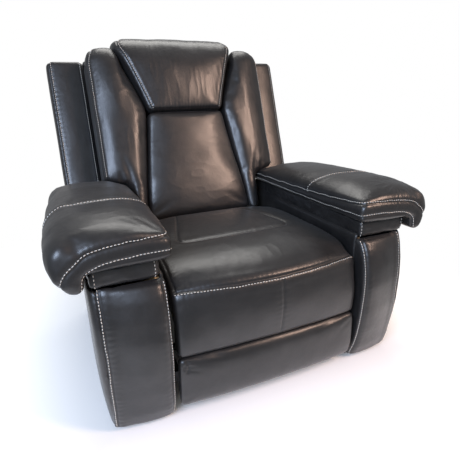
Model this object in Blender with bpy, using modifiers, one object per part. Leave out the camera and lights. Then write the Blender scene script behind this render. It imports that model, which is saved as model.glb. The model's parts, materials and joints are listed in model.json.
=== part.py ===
"""Power recliner armchair, built as separate named pieces.

Units are metres, +Z is up, the chair faces -Y and +X is at the right of someone who looks at its front.
The origin is on the floor, under the middle of the whole chair.
"""

import math

import bmesh
import bpy
from mathutils import Matrix, Vector

# Driving dimensions -------------------------------------------------------------------------------

HALF_WIDTH = 0.545          # arm pads, the widest part
FRONT_Y = -0.485            # front plane of the arm frames
ARM_REAR_Y = 0.245
ARM_INNER_X = 0.300
ARM_OUTER_X = 0.490
ARM_BOTTOM_Z = 0.030
ARM_TOP_Z = 0.440
NECK_TOP_Z = 0.4925
PAD_TOP_Z = 0.602

SEAT_HALF_WIDTH = 0.284
SEAT_BOTTOM_Z = 0.305
SEAT_TOP_Z = 0.450
FASCIA_BOTTOM_Z = 0.210
FASCIA_FRONT_Y = -0.53777

FOOTREST_BOTTOM_Z = 0.036
FOOTREST_TOP_Z = 0.200
FOOTREST_FRONT_Y = -0.530

BACK_LEAN = math.radians(20.0)
RECLINE_PIVOT = Vector((0.0, 0.125, 0.270))
SEAT_PIVOT = Vector((0.0, 0.015, 0.200))

# Heights and depths in the back's own frame: z runs up along the back, y runs to the rear of it.
BACK_PAD_FRONT = -0.078
BACK_PAD_REAR = 0.046
LUMBAR_BOTTOM = 0.100
LUMBAR_TOP = 0.528
HEAD_PIVOT_DEPTH = -0.066
HEAD_PIVOT_HEIGHT = 0.534
HEADREST_HEIGHT = 0.292
BOLSTER_TOP = 0.800
WING_BOTTOM = 0.250
WING_TOP = 0.789
WING_FRONT = 0.050
BACK_REAR = 0.155
WING_INNER_X = 0.370
WING_OUTER_X = 0.4985

PLATE = 0.004               # thickness of the steel links and plates
SIDE_PLATE_X = 0.248        # middle of the seat side plates
LINK_X = 0.242              # middle of the swing links
CARRY_X = 0.236             # middle of the carry links
BRACKET_X = 0.230           # middle of the footrest brackets
POST_X = 0.2545             # middle of the back posts
PIN_RADIUS = 0.0055
HOLE_RADIUS = 0.0068

# Footrest linkage, drawn folded. Angles are measured from straight forward, towards up.
SWING_PIVOT = Vector((0.0, -0.410, 0.250))
SWING_LENGTH = 0.205
SWING_FOLDED = math.radians(-95.0)
CARRY_LENGTH = 0.135
CARRY_FOLDED = math.radians(75.0)

SIDES = (("left", -1.0), ("right", 1.0))


def leave_empty_scene():
    """Remove every object that the scene already holds."""
    for item in list(bpy.data.objects):
        bpy.data.objects.remove(item, do_unlink=True)


leave_empty_scene()
chair = bpy.data.collections.new("power_recliner")
bpy.context.scene.collection.children.link(chair)
cutters = bpy.data.collections.new("cutters")
bpy.context.scene.collection.children.link(cutters)


def finish(name, colour, roughness, metallic=0.0):
    """Make a Principled material."""
    made = bpy.data.materials.new(name)
    made.use_nodes = True
    shader = made.node_tree.nodes["Principled BSDF"]
    shader.inputs["Base Color"].default_value = (*colour, 1.0)
    shader.inputs["Roughness"].default_value = roughness
    shader.inputs["Metallic"].default_value = metallic
    return made


LEATHER = finish("black_leather", (0.030, 0.029, 0.030), 0.38)
PLYWOOD = finish("plywood", (0.45, 0.31, 0.18), 0.65)
STEEL = finish("black_painted_steel", (0.035, 0.035, 0.038), 0.42, 0.6)
ZINC = finish("zinc_plated_steel", (0.55, 0.56, 0.58), 0.35, 1.0)
SPRING_STEEL = finish("spring_steel", (0.30, 0.30, 0.31), 0.32, 1.0)
PLASTIC = finish("black_plastic", (0.022, 0.022, 0.024), 0.5)
BUTTON_PLASTIC = finish("grey_button_plastic", (0.12, 0.12, 0.13), 0.42)


# Empties that the moving pieces hang from ---------------------------------------------------------

def pivot(name, place, turn=0.0, parent=None):
    """Put an empty on a joint's axis, turned about X."""
    empty = bpy.data.objects.new(name, None)
    empty.empty_display_size = 0.05
    chair.objects.link(empty)
    empty.parent = parent
    empty.location = place
    empty.rotation_euler = (turn, 0.0, 0.0)
    bpy.context.view_layer.update()
    return empty


seat_frame = pivot("seat_tilt_axis", SEAT_PIVOT)
back_frame = pivot("recline_axis", RECLINE_PIVOT - SEAT_PIVOT, -BACK_LEAN, seat_frame)
head_frame = pivot("headrest_axis", Vector((0.0, HEAD_PIVOT_DEPTH, HEAD_PIVOT_HEIGHT)), 0.0, back_frame)


def along(angle, length):
    """Give the step of a link, for an angle from straight forward towards up."""
    return Vector((0.0, -math.cos(angle) * length, math.sin(angle) * length))


KNEE_PIVOT = SWING_PIVOT + along(SWING_FOLDED, SWING_LENGTH)
FOOT_PIVOT = KNEE_PIVOT + along(CARRY_FOLDED, CARRY_LENGTH)
swing_frame = pivot("swing_link_axis", SWING_PIVOT - SEAT_PIVOT, 0.0, seat_frame)
carry_frame = pivot("carry_link_axis", KNEE_PIVOT - SWING_PIVOT, 0.0, swing_frame)
foot_frame = pivot("footrest_axis", FOOT_PIVOT - KNEE_PIVOT, 0.0, carry_frame)


# Shape helpers ------------------------------------------------------------------------------------

def add(name, mesh, material, parent=None, group=chair):
    """Link an object whose mesh is drawn in its parent's frame."""
    made = bpy.data.objects.new(name, mesh)
    made.data.materials.clear()
    if material is not None:
        made.data.materials.append(material)
    group.objects.link(made)
    made.parent = parent
    return made


def local(point, parent):
    """Turn a world place into the frame of an empty."""
    if parent is None:
        return Vector(point)
    return parent.matrix_world.inverted() @ Vector(point)


def round_edges(made, width, segments=2, limit=30.0):
    """Add a bevel to the sharp edges."""
    bevel = made.modifiers.new("rounded", "BEVEL")
    bevel.width = width
    bevel.segments = segments
    bevel.limit_method = "ANGLE"
    bevel.angle_limit = math.radians(limit)
    return made


def block(name, low, high, material, parent=None, bevel=0.0, segments=2, group=chair):
    """Make a box between two corners, given in the parent's frame."""
    low = Vector(low)
    high = Vector(high)
    size = high - low
    shape = bmesh.new()
    bmesh.ops.create_cube(shape, size=1.0)
    bmesh.ops.scale(shape, vec=size, verts=shape.verts)
    mesh = bpy.data.meshes.new(name)
    shape.to_mesh(mesh)
    shape.free()
    made = add(name, mesh, material, parent, group)
    made.location = (low + high) / 2.0
    if bevel > 0.0:
        round_edges(made, bevel, segments)
    return made


def mirrored(sign, low, high):
    """Give a box's corners on one side from its corners at +X."""
    first = (min(sign * low[0], sign * high[0]), low[1], low[2])
    last = (max(sign * low[0], sign * high[0]), high[1], high[2])
    return first, last


def rod(name, radius, length, centre, direction, material, parent=None, sides=16, group=chair):
    """Make a cylinder about a point, along a direction."""
    shape = bmesh.new()
    bmesh.ops.create_cone(shape, cap_ends=True, segments=sides, radius1=radius, radius2=radius,
                          depth=length)
    turn = Vector((0.0, 0.0, 1.0)).rotation_difference(Vector(direction)).to_matrix().to_4x4()
    bmesh.ops.transform(shape, matrix=turn, verts=shape.verts)
    mesh = bpy.data.meshes.new(name)
    shape.to_mesh(mesh)
    shape.free()
    mesh.shade_smooth()
    mesh.set_sharp_from_angle(angle=math.radians(40.0))
    made = add(name, mesh, material, parent, group)
    made.location = centre
    return made


def join(made, tool, operation):
    """Cut a tool out of an object, or weld it on, and keep the tool as a wire guide."""
    tool.hide_render = True
    tool.display_type = "WIRE"
    change = made.modifiers.new(operation.lower(), "BOOLEAN")
    change.operation = operation
    change.solver = "EXACT"
    change.object = tool
    return made


def guide_block(name, low, high, parent=None):
    """Make a box that only cuts or joins."""
    return block(name, low, high, None, parent, group=cutters)


def guide_rod(name, radius, length, centre, parent):
    """Make a cylinder along X that only cuts or joins."""
    return rod(name, radius, length, centre, (1.0, 0.0, 0.0), None, parent, 16, cutters)


def flat_plate(name, outline, thickness, middle, material, parent=None, facing="X"):
    """Extrude a flat outline about a middle plane, facing X (points are y, z) or Y (points are x, z)."""
    curve = bpy.data.curves.new(name, "CURVE")
    curve.dimensions = "2D"
    curve.fill_mode = "BOTH"
    curve.extrude = thickness / 2.0
    line = curve.splines.new("POLY")
    line.points.add(len(outline) - 1)
    for point, (across, up) in zip(line.points, outline):
        point.co = (across, up, 0.0, 1.0)
    line.use_cyclic_u = True
    drawn = bpy.data.objects.new(name + "_outline", curve)
    chair.objects.link(drawn)
    bpy.context.view_layer.update()
    ready = drawn.evaluated_get(bpy.context.evaluated_depsgraph_get())
    mesh = bpy.data.meshes.new_from_object(ready)
    bpy.data.objects.remove(drawn, do_unlink=True)
    if facing == "X":
        turn = Matrix(((0.0, 0.0, 1.0), (1.0, 0.0, 0.0), (0.0, 1.0, 0.0))).to_4x4()
        shift = Vector((middle, 0.0, 0.0))
    else:
        turn = Matrix(((1.0, 0.0, 0.0), (0.0, 0.0, -1.0), (0.0, 1.0, 0.0))).to_4x4()
        shift = Vector((0.0, middle, 0.0))
    shape = bmesh.new()
    shape.from_mesh(mesh)
    bmesh.ops.remove_doubles(shape, verts=shape.verts, dist=0.00001)
    bmesh.ops.transform(shape, matrix=Matrix.Translation(shift) @ turn, verts=shape.verts)
    bmesh.ops.dissolve_limit(shape, angle_limit=0.001, verts=shape.verts, edges=shape.edges)
    bmesh.ops.recalc_face_normals(shape, faces=shape.faces)
    shape.to_mesh(mesh)
    shape.free()
    return add(name, mesh, material, parent)


def strap_outline(path, width, steps=5):
    """Give the outline of a flat bar with round ends along a path of (y, z) points."""
    points = [Vector(item) for item in path]
    half = width / 2.0
    left = []
    right = []
    for index, here in enumerate(points):
        before = points[max(index - 1, 0)]
        after = points[min(index + 1, len(points) - 1)]
        first = (here - before).normalized() if index > 0 else (after - here).normalized()
        second = (after - here).normalized() if index < len(points) - 1 else first
        normal = Vector((-first.y - second.y, first.x + second.x)).normalized()
        stretch = half / max(normal.dot(Vector((-first.y, first.x))), 0.5)
        left.append(here + normal * stretch)
        right.append(here - normal * stretch)

    def cap(centre, start):
        """Give the points of a half circle that starts at one side of the bar."""
        spoke = start - centre
        turned = []
        for step in range(1, steps):
            angle = -math.pi * step / steps
            turned.append(centre + Matrix.Rotation(angle, 2) @ spoke)
        return turned

    outline = left + cap(points[-1], left[-1]) + right[::-1] + cap(points[0], right[0])
    return [(item.x, item.y) for item in outline]


def strap(name, path, width, middle, material, parent, thickness=PLATE):
    """Make a flat steel bar whose path is given as world (y, z) points."""
    placed = [local((0.0, y, z), parent) for y, z in path]
    outline = strap_outline([(item.y, item.z) for item in placed], width)
    return flat_plate(name, outline, thickness, middle, material, parent)


def pivot_hole(made, centre, middle, parent):
    """Cut a pin hole through a plate that stands at x = middle."""
    place = local((0.0, centre.y, centre.z), parent)
    tool = guide_rod(made.name + "_hole", HOLE_RADIUS, 0.012, (middle, place.y, place.z), parent)
    return join(made, tool, "DIFFERENCE")


def pivot_pin(made, centre, first, last, parent):
    """Weld a pin on a plate, from x = first to x = last."""
    place = local((0.0, centre.y, centre.z), parent)
    middle = (first + last) / 2.0
    tool = guide_rod(made.name + "_pin", PIN_RADIUS, abs(last - first), (middle, place.y, place.z), parent)
    return join(made, tool, "UNION")


def loft(name, sections, material, parent=None):
    """Skin closed rings of equal length, given as lists of world points from one end to the other."""
    mesh = bpy.data.meshes.new(name)
    points = [tuple(item) for ring in sections for item in ring]
    count = len(sections[0])
    faces = []
    for row in range(len(sections) - 1):
        for column in range(count):
            following = (column + 1) % count
            low = row * count
            faces.append((low + column, low + following, low + count + following, low + count + column))
    faces.append(tuple(reversed(range(count))))
    faces.append(tuple(range((len(sections) - 1) * count, len(sections) * count)))
    mesh.from_pydata(points, [], faces)
    shape = bmesh.new()
    shape.from_mesh(mesh)
    bmesh.ops.recalc_face_normals(shape, faces=shape.faces)
    shape.to_mesh(mesh)
    shape.free()
    return add(name, mesh, material, parent)


# Base ---------------------------------------------------------------------------------------------

RAIL_INNER_X = 0.2580
RAIL_OUTER_X = 0.2960
RAIL_BOTTOM_Z = 0.036
RAIL_TOP_Z = 0.076
RAIL_FRONT_Y = -0.400
RAIL_REAR_Y = 0.225
TUBE_RADIUS = 0.0125
TUBE_Z = 0.056
LUG_X = 0.2555
LUG_THICKNESS = 0.006
LUG_WIDTH = 0.040
FOOT_HEIGHT = ARM_BOTTOM_Z
FOOT_RADIUS = 0.022


def build_base():
    """Make the two side rails with the seat hinge lugs, the cross tubes and the feet."""
    for side, sign in SIDES:
        rail = block(f"base_rail_{side}", *mirrored(sign, (RAIL_INNER_X, RAIL_FRONT_Y, RAIL_BOTTOM_Z),
                                                    (RAIL_OUTER_X, RAIL_REAR_Y, RAIL_TOP_Z)), STEEL)
        lug_low = (LUG_X - LUG_THICKNESS / 2.0, SEAT_PIVOT.y - LUG_WIDTH / 2.0, RAIL_BOTTOM_Z + 0.009)
        lug_high = (LUG_X + LUG_THICKNESS / 2.0, SEAT_PIVOT.y + LUG_WIDTH / 2.0, SEAT_PIVOT.z + 0.015)
        join(rail, guide_block(f"base_lug_{side}", *mirrored(sign, lug_low, lug_high)), "UNION")
        pivot_pin(rail, SEAT_PIVOT, sign * 0.2445, sign * LUG_X, None)
        foot_x = sign * 0.430
        for end, foot_y in (("front", FRONT_Y + 0.050), ("rear", ARM_REAR_Y - 0.050)):
            rod(f"foot_{end}_{side}", FOOT_RADIUS, FOOT_HEIGHT, (foot_x, foot_y, FOOT_HEIGHT / 2.0),
                (0.0, 0.0, 1.0), PLASTIC, sides=20)
    tube_length = 2.0 * (RAIL_INNER_X - 0.0005)
    rod("base_tube_front", TUBE_RADIUS, tube_length, (0.0, -0.250, TUBE_Z), (1.0, 0.0, 0.0), STEEL)
    rod("base_tube_rear", TUBE_RADIUS, tube_length, (0.0, 0.200, TUBE_Z), (1.0, 0.0, 0.0), STEEL)
    block("control_box", (-0.150, 0.100, 0.046), (-0.030, 0.186, 0.078), PLASTIC, bevel=0.004)
    block("power_inlet", (0.120, 0.2130, 0.040), (0.160, 0.2430, 0.072), PLASTIC, bevel=0.003)


# Arms ---------------------------------------------------------------------------------------------

PAD_INNER_X = 0.279
PAD_LIP_X = 0.4915
PAD_UNDER_Z = 0.4935
PAD_LIP_Z = 0.452
PAD_FRONT_Y = -0.517
PAD_REAR_Y = 0.2450


def pad_ring(sign, y, swell, crown):
    """Give one section of an arm pad; swell pulls the outer side in and crown lowers the top."""
    outer = PAD_LIP_X + (HALF_WIDTH - PAD_LIP_X) * swell
    top = PAD_UNDER_Z + (PAD_TOP_Z - PAD_UNDER_Z) * crown
    mid = (PAD_UNDER_Z + top) / 2.0
    lip_outer = PAD_LIP_X + 0.030 * swell
    profile = (
        (PAD_INNER_X + 0.006, PAD_UNDER_Z + 0.004),
        (PAD_LIP_X - 0.004, PAD_UNDER_Z),
        (PAD_LIP_X, PAD_LIP_Z + 0.004),
        (lip_outer, PAD_LIP_Z),
        (outer - 0.004, mid - 0.040),
        (outer, mid - 0.008),
        (outer - 0.012, mid + 0.022),
        (outer - 0.050, top - 0.010),
        (outer - 0.105, top),
        (PAD_INNER_X + 0.080, top - 0.003),
        (PAD_INNER_X + 0.030, top - 0.016),
        (PAD_INNER_X + 0.004, mid + 0.014),
        (PAD_INNER_X, mid - 0.015),
    )
    return [(sign * x, y, z) for x, z in profile]


def build_arm(side, sign):
    """Make the frame board, the upholstered panels, the collar and the pillow pad of one arm."""
    floor = ARM_BOTTOM_Z + 0.0005
    board = block(f"arm_board_{side}", *mirrored(sign, (0.3105, FRONT_Y + 0.018, floor),
                                                 (0.3225, ARM_REAR_Y - 0.018, 0.4350)), PLYWOOD)
    flange = guide_block(f"arm_flange_{side}", *mirrored(sign, (0.3215, FRONT_Y + 0.018, floor),
                                                         (0.4700, ARM_REAR_Y - 0.018, floor + 0.018)))
    join(board, flange, "UNION")
    inner_low = (ARM_INNER_X, FRONT_Y + 0.017, ARM_BOTTOM_Z + 0.004)
    inner_high = (0.3100, ARM_REAR_Y, ARM_TOP_Z - 0.002)
    block(f"arm_inner_panel_{side}", *mirrored(sign, inner_low, inner_high), LEATHER, bevel=0.003)
    inside = ARM_OUTER_X - 0.014
    outline = [(inside, FRONT_Y + 0.017), (ARM_OUTER_X - 0.006, FRONT_Y + 0.008),
               (ARM_OUTER_X, FRONT_Y + 0.030), (ARM_OUTER_X, ARM_REAR_Y - 0.012),
               (ARM_OUTER_X - 0.012, ARM_REAR_Y), (0.3110, ARM_REAR_Y),
               (0.3110, ARM_REAR_Y - 0.014), (inside, ARM_REAR_Y - 0.014)]
    rings = [[(sign * x, y, z) for x, y in outline] for z in (ARM_BOTTOM_Z + 0.004, ARM_TOP_Z - 0.002)]
    loft(f"arm_outer_panel_{side}", rings, LEATHER)
    bow = []
    for step in range(9):
        share = step / 8.0
        height = ARM_BOTTOM_Z + 0.004 + (ARM_TOP_Z - 0.006 - ARM_BOTTOM_Z) * share
        bow.append((FRONT_Y + 0.004 - 0.044 * math.sin(math.pi * share) ** 0.7, height))
    profile = [(FRONT_Y + 0.016, bow[0][1])] + bow + [(FRONT_Y + 0.016, bow[-1][1])]
    panel = flat_plate(f"arm_front_panel_{side}", profile, 0.166, sign * 0.3845, LEATHER)
    round_edges(panel, 0.006, 2, 50.0)
    neck_low = (0.3100, FRONT_Y + 0.002, ARM_TOP_Z + 0.0005)
    neck_high = (0.4780, ARM_REAR_Y - 0.006, NECK_TOP_Z)
    block(f"arm_neck_{side}", *mirrored(sign, neck_low, neck_high), LEATHER, bevel=0.010, segments=3)
    stations = ((PAD_FRONT_Y, 0.35, 0.52), (PAD_FRONT_Y + 0.010, 0.52, 0.74),
                (PAD_FRONT_Y + 0.045, 0.72, 0.90), (PAD_FRONT_Y + 0.130, 0.90, 1.0),
                (PAD_FRONT_Y + 0.260, 1.0, 0.98), (-0.100, 1.0, 0.90), (0.080, 0.94, 0.76),
                (0.200, 0.82, 0.60), (PAD_REAR_Y - 0.012, 0.70, 0.50), (PAD_REAR_Y, 0.55, 0.40))
    loft(f"arm_pad_{side}", [pad_ring(sign, *station) for station in stations], LEATHER)


# Controls -----------------------------------------------------------------------------------------

SWITCH_FACE_X = -0.3060
BUTTON_NAMES = ("recline", "return", "head_up", "head_down")


def build_controls():
    """Make the switch plate on the sitter's right arm and its four push buttons."""
    plate = block("switch_plate", (-0.3097, -0.315, 0.4455), (SWITCH_FACE_X, -0.185, 0.4875), PLASTIC)
    for index, word in enumerate(BUTTON_NAMES):
        centre = (SWITCH_FACE_X, -0.295 + 0.030 * index, 0.4665)
        hole = rod(f"switch_hole_{word}", 0.0100, 0.020, centre, (1.0, 0.0, 0.0), None, None, 20, cutters)
        join(plate, hole, "DIFFERENCE")
        stem_back = -0.3098 + 0.0022
        stem_front = SWITCH_FACE_X + 0.0030
        stem_middle = ((stem_front + stem_back) / 2.0, centre[1], centre[2])
        rod(f"button_{word}", 0.0093, stem_front - stem_back, stem_middle, (1.0, 0.0, 0.0), BUTTON_PLASTIC,
            sides=20)


# Seat ---------------------------------------------------------------------------------------------

def build_seat():
    """Make the tipping seat: side plates, rails, spring, cushion and front panel."""
    for side, sign in SIDES:
        path = [(-0.430, 0.262), (-0.200, 0.245), (RECLINE_PIVOT.y, RECLINE_PIVOT.z)]
        plate = strap(f"seat_side_plate_{side}", path, 0.036, sign * SIDE_PLATE_X, STEEL, seat_frame)
        lug = strap(f"seat_lug_{side}", [(SEAT_PIVOT.y, SEAT_PIVOT.z), (SEAT_PIVOT.y, 0.250)], 0.036,
                    sign * SIDE_PLATE_X, None, seat_frame)
        chair.objects.unlink(lug)
        cutters.objects.link(lug)
        join(plate, lug, "UNION")
        pivot_hole(plate, SEAT_PIVOT, sign * SIDE_PLATE_X, seat_frame)
        pivot_pin(plate, RECLINE_PIVOT, sign * SIDE_PLATE_X, sign * 0.2600, seat_frame)
        pivot_pin(plate, SWING_PIVOT, sign * SIDE_PLATE_X, sign * 0.2385, seat_frame)
    rail_half = SIDE_PLATE_X - PLATE / 2.0 - 0.001
    front_low = local((-rail_half, FRONT_Y + 0.014, 0.218), seat_frame)
    front_high = local((rail_half, FRONT_Y + 0.032, 0.292), seat_frame)
    block("seat_rail_front", front_low, front_high, PLYWOOD, seat_frame)
    rear = (local((-rail_half, 0.020, 0.232), seat_frame), local((rail_half, 0.040, 0.292), seat_frame))
    block("seat_rail_rear", *rear, PLYWOOD, seat_frame)
    build_spring()
    build_cushion()


def build_spring():
    """Make one sinuous wire that runs back and forth between the seat rails."""
    runs = 6
    first_x = -0.180
    pitch = 0.072
    near = FRONT_Y + 0.050
    far = 0.005
    turn_steps = 4
    radius = pitch / 2.0
    path = []
    for run in range(runs):
        x = first_x + pitch * run
        forward = run % 2 == 0
        ends = (near + radius, far - radius) if forward else (far - radius, near + radius)
        path.append((x, ends[0]))
        path.append((x, ends[1]))
        if run < runs - 1:
            middle = x + radius
            for step in range(1, turn_steps):
                angle = math.pi * step / turn_steps
                reach = radius * math.sin(angle)
                path.append((middle - radius * math.cos(angle), ends[1] + (reach if forward else -reach)))
    curve = bpy.data.curves.new("seat_spring_path", "CURVE")
    curve.dimensions = "3D"
    curve.bevel_depth = 0.0025
    curve.bevel_resolution = 1
    curve.use_fill_caps = True
    line = curve.splines.new("POLY")
    line.points.add(len(path) - 1)
    for point, (x, y) in zip(line.points, path):
        point.co = (*local((x, y, 0.298), seat_frame), 1.0)
    made = bpy.data.objects.new("seat_spring", curve)
    made.data.materials.append(SPRING_STEEL)
    chair.objects.link(made)
    made.parent = seat_frame


def build_cushion():
    """Make the crowned seat cushion and the bulging panel below its front seam."""
    half = SEAT_HALF_WIDTH
    stations = ((-0.531, 0.375, 0.012), (-0.520, 0.398, 0.004), (-0.470, 0.430, 0.0), (-0.380, 0.446, 0.0),
                (-0.250, SEAT_TOP_Z, 0.0), (-0.100, 0.440, 0.0), (0.010, 0.430, 0.0), (0.062, 0.416, 0.006),
                (0.072, 0.390, 0.014))
    rings = []
    for y, top, inset in stations:
        wide = half - inset
        low = SEAT_BOTTOM_Z if y > -0.520 else SEAT_BOTTOM_Z + 0.030
        ring = [(-wide + 0.006, low), (wide - 0.006, low), (wide, low + 0.012), (wide, top - 0.050),
                (wide - 0.012, top - 0.030), (wide - 0.050, top - 0.014), (0.110, top), (-0.110, top),
                (-wide + 0.050, top - 0.014), (-wide + 0.012, top - 0.030), (-wide, top - 0.050),
                (-wide, low + 0.012)]
        rings.append([local((x, y, z), seat_frame) for x, z in ring])
    loft("seat_cushion", rings, LEATHER, seat_frame)
    outline = [(FRONT_Y + 0.0135, FASCIA_BOTTOM_Z), (-0.490, FASCIA_BOTTOM_Z), (-0.512, 0.222),
               (-0.532, 0.252), (FASCIA_FRONT_Y, 0.290), (FASCIA_FRONT_Y, 0.320), (-0.5335, 0.3340),
               (-0.5210, 0.3345),
               (-0.5190, 0.3040), (FRONT_Y + 0.0135, 0.3040)]
    placed = [local((0.0, y, z), seat_frame) for y, z in outline]
    panel = flat_plate("seat_front_panel", [(item.y, item.z) for item in placed], 2.0 * half, 0.0, LEATHER,
                       seat_frame)
    round_edges(panel, 0.004, 2, 60.0)


# Footrest -----------------------------------------------------------------------------------------

def build_footrest():
    """Make the swing links, the carry links, the brackets, the board and the padded panel."""
    opened = math.radians(90.0)
    for side, sign in SIDES:
        crank = [(0.0, 0.0), (0.045, -0.062), (0.130, -0.062)]
        folded = []
        for ahead, up in crank:
            angle = math.atan2(up, ahead) - opened
            step = along(angle, math.hypot(ahead, up))
            folded.append((SWING_PIVOT.y + step.y, SWING_PIVOT.z + step.z))
        folded.append((KNEE_PIVOT.y, KNEE_PIVOT.z))
        swing = strap(f"swing_link_{side}", folded, 0.022, sign * LINK_X, ZINC, swing_frame)
        pivot_hole(swing, SWING_PIVOT, sign * LINK_X, swing_frame)
        pivot_pin(swing, KNEE_PIVOT, sign * LINK_X, sign * 0.2325, swing_frame)
        carry_path = [(KNEE_PIVOT.y, KNEE_PIVOT.z), (FOOT_PIVOT.y, FOOT_PIVOT.z)]
        carry = strap(f"carry_link_{side}", carry_path, 0.020, sign * CARRY_X, ZINC, carry_frame)
        pivot_hole(carry, KNEE_PIVOT, sign * CARRY_X, carry_frame)
        pivot_pin(carry, FOOT_PIVOT, sign * CARRY_X, sign * 0.2265, carry_frame)
        path = [(FOOT_PIVOT.y, FOOT_PIVOT.z), (FOOT_PIVOT.y - 0.022, 0.150), (-0.4585, 0.090)]
        bracket = strap(f"footrest_bracket_{side}", path, 0.022, sign * BRACKET_X, ZINC, foot_frame)
        pivot_hole(bracket, FOOT_PIVOT, sign * BRACKET_X, foot_frame)
    board_low = local((-0.262, -0.4860, FOOTREST_BOTTOM_Z + 0.012), foot_frame)
    board_high = local((0.262, -0.4740, FOOTREST_TOP_Z - 0.012), foot_frame)
    block("footrest_board", board_low, board_high, PLYWOOD, foot_frame)
    pad_low = local((-SEAT_HALF_WIDTH, FOOTREST_FRONT_Y, FOOTREST_BOTTOM_Z), foot_frame)
    pad_high = local((SEAT_HALF_WIDTH, -0.4865, FOOTREST_TOP_Z), foot_frame)
    block("footrest_pad", pad_low, pad_high, LEATHER, foot_frame, bevel=0.016, segments=3)


# Back ---------------------------------------------------------------------------------------------

def side_outline(points, sign):
    """Mirror an outline of (x, z) points for one side, keeping its turning sense."""
    flipped = [(sign * x, z) for x, z in points]
    return flipped if sign > 0.0 else flipped[::-1]


def build_back():
    """Make the posts, rails, pads, wings and rear cover in the back's own frame."""
    depth = BACK_PAD_REAR - BACK_PAD_FRONT
    middle = (BACK_PAD_REAR + BACK_PAD_FRONT) / 2.0
    bolster = ((0.222, 0.098), (0.262, 0.098), (0.275, 0.120), (0.275, 0.300), (0.285, 0.335),
               (0.330, 0.352), (0.362, 0.375), (0.362, 0.740), (0.350, 0.780), (0.322, BOLSTER_TOP),
               (0.262, BOLSTER_TOP), (0.249, 0.775), (0.162, 0.532))
    for side, sign in SIDES:
        path = [(0.0, 0.0), (0.074, 0.078), (0.074, 0.740)]
        post_x = sign * POST_X
        post = flat_plate(f"back_post_{side}", strap_outline(path, 0.032), 0.005, post_x, STEEL, back_frame)
        hole = guide_rod(f"back_post_{side}_hole", HOLE_RADIUS, 0.012, (post_x, 0.0, 0.0), back_frame)
        join(post, hole, "DIFFERENCE")
        shape = side_outline(bolster, sign)
        made = flat_plate(f"back_bolster_{side}", shape, depth, middle, LEATHER, back_frame, "Y")
        round_edges(made, 0.018, 3, 50.0)
        wing = mirrored(sign, (WING_INNER_X, WING_FRONT, WING_BOTTOM), (WING_OUTER_X, BACK_REAR, WING_TOP))
        block(f"back_wing_{side}", *wing, LEATHER, back_frame, bevel=0.012, segments=3)
    lumbar = [(-0.208, LUMBAR_BOTTOM), (0.208, LUMBAR_BOTTOM), (0.213, 0.120), (0.1525, LUMBAR_TOP),
              (-0.1525, LUMBAR_TOP), (-0.213, 0.120)]
    round_edges(flat_plate("lumbar_pad", lumbar, depth, middle, LEATHER, back_frame, "Y"), 0.016, 3, 50.0)
    block("back_rail_top", (-0.362, 0.0905, 0.640), (0.362, 0.1180, 0.700), PLYWOOD, back_frame)
    block("back_rail_bottom", (-0.362, 0.0905, 0.260), (0.362, 0.1180, 0.320), PLYWOOD, back_frame)
    roll_high = (0.362, BACK_REAR - 0.0155, BOLSTER_TOP - 0.004)
    block("back_top_roll", (-0.362, 0.0620, 0.764), roll_high, LEATHER, back_frame, bevel=0.010)
    cover = [(-0.290, 0.0), (0.290, 0.0), (0.290, 0.236), (0.362, 0.252), (0.362, 0.770), (0.350, 0.785),
             (-0.350, 0.785), (-0.362, 0.770), (-0.362, 0.252), (-0.290, 0.236)]
    round_edges(flat_plate("back_rear_cover", cover, 0.015, BACK_REAR - 0.0075, LEATHER, back_frame, "Y"),
                0.004, 2, 50.0)


def build_headrest():
    """Make the headrest pad and the board behind it, in the headrest's own frame."""
    wide = [(-0.149, 0.002), (0.149, 0.002), (0.152, 0.012), (0.234, 0.246), (0.226, 0.276),
            (0.204, HEADREST_HEIGHT), (-0.204, HEADREST_HEIGHT), (-0.226, 0.276), (-0.234, 0.246),
            (-0.152, 0.012)]
    pad = flat_plate("headrest_pad", wide, 0.145, 0.0400, LEATHER, head_frame, "Y")
    round_edges(pad, 0.020, 3, 50.0)
    block("headrest_board", (-0.130, 0.1130, 0.030), (0.130, 0.1250, 0.250), PLYWOOD, head_frame)


# Drives -------------------------------------------------------------------------------------------

CARRIAGE_CLEARANCE = 0.0006


def build_drive(word, x, motor_low, motor_high, rail_low, rail_high, carriage_y):
    """Make one motor with its square rail, and the carriage that runs on the rail."""
    motor = block(f"{word}_motor", local((x - 0.036, motor_low, 0.150), seat_frame),
                  local((x + 0.036, motor_high, 0.214), seat_frame), PLASTIC, seat_frame)
    rail = guide_block(f"{word}_rail_guide", local((x - 0.010, rail_low, 0.172), seat_frame),
                       local((x + 0.010, rail_high, 0.192), seat_frame), seat_frame)
    join(motor, rail, "UNION")
    carriage = block(f"{word}_carriage", local((x - 0.022, carriage_y - 0.020, 0.160), seat_frame),
                     local((x + 0.022, carriage_y + 0.020, 0.204), seat_frame), ZINC, seat_frame)
    gap = CARRIAGE_CLEARANCE
    bore = guide_block(f"{word}_carriage_bore",
                       local((x - 0.010 - gap, carriage_y - 0.030, 0.172 - gap), seat_frame),
                       local((x + 0.010 + gap, carriage_y + 0.030, 0.192 + gap), seat_frame), seat_frame)
    join(carriage, bore, "DIFFERENCE")


build_base()
for side_name, side_sign in SIDES:
    build_arm(side_name, side_sign)
build_controls()
build_seat()
build_footrest()
build_back()
build_headrest()
build_drive("recline", -0.110, -0.240, -0.150, -0.155, 0.070, 0.035)
build_drive("footrest", 0.110, -0.060, 0.010, -0.330, -0.055, -0.110)
for guide in cutters.objects:
    guide.hide_render = True
    guide.display_type = "WIRE"
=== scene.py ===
"""A power recliner armchair in black bonded leather: its covers, padding, stitching, metalwork and studio."""
import json
import logging
import math
from collections.abc import Callable, Sequence
from dataclasses import dataclass, field
from enum import Enum
from itertools import product

import bmesh
import bpy
import numpy as np
from mathutils import Matrix, Vector
from mathutils.bvhtree import BVHTree

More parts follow.
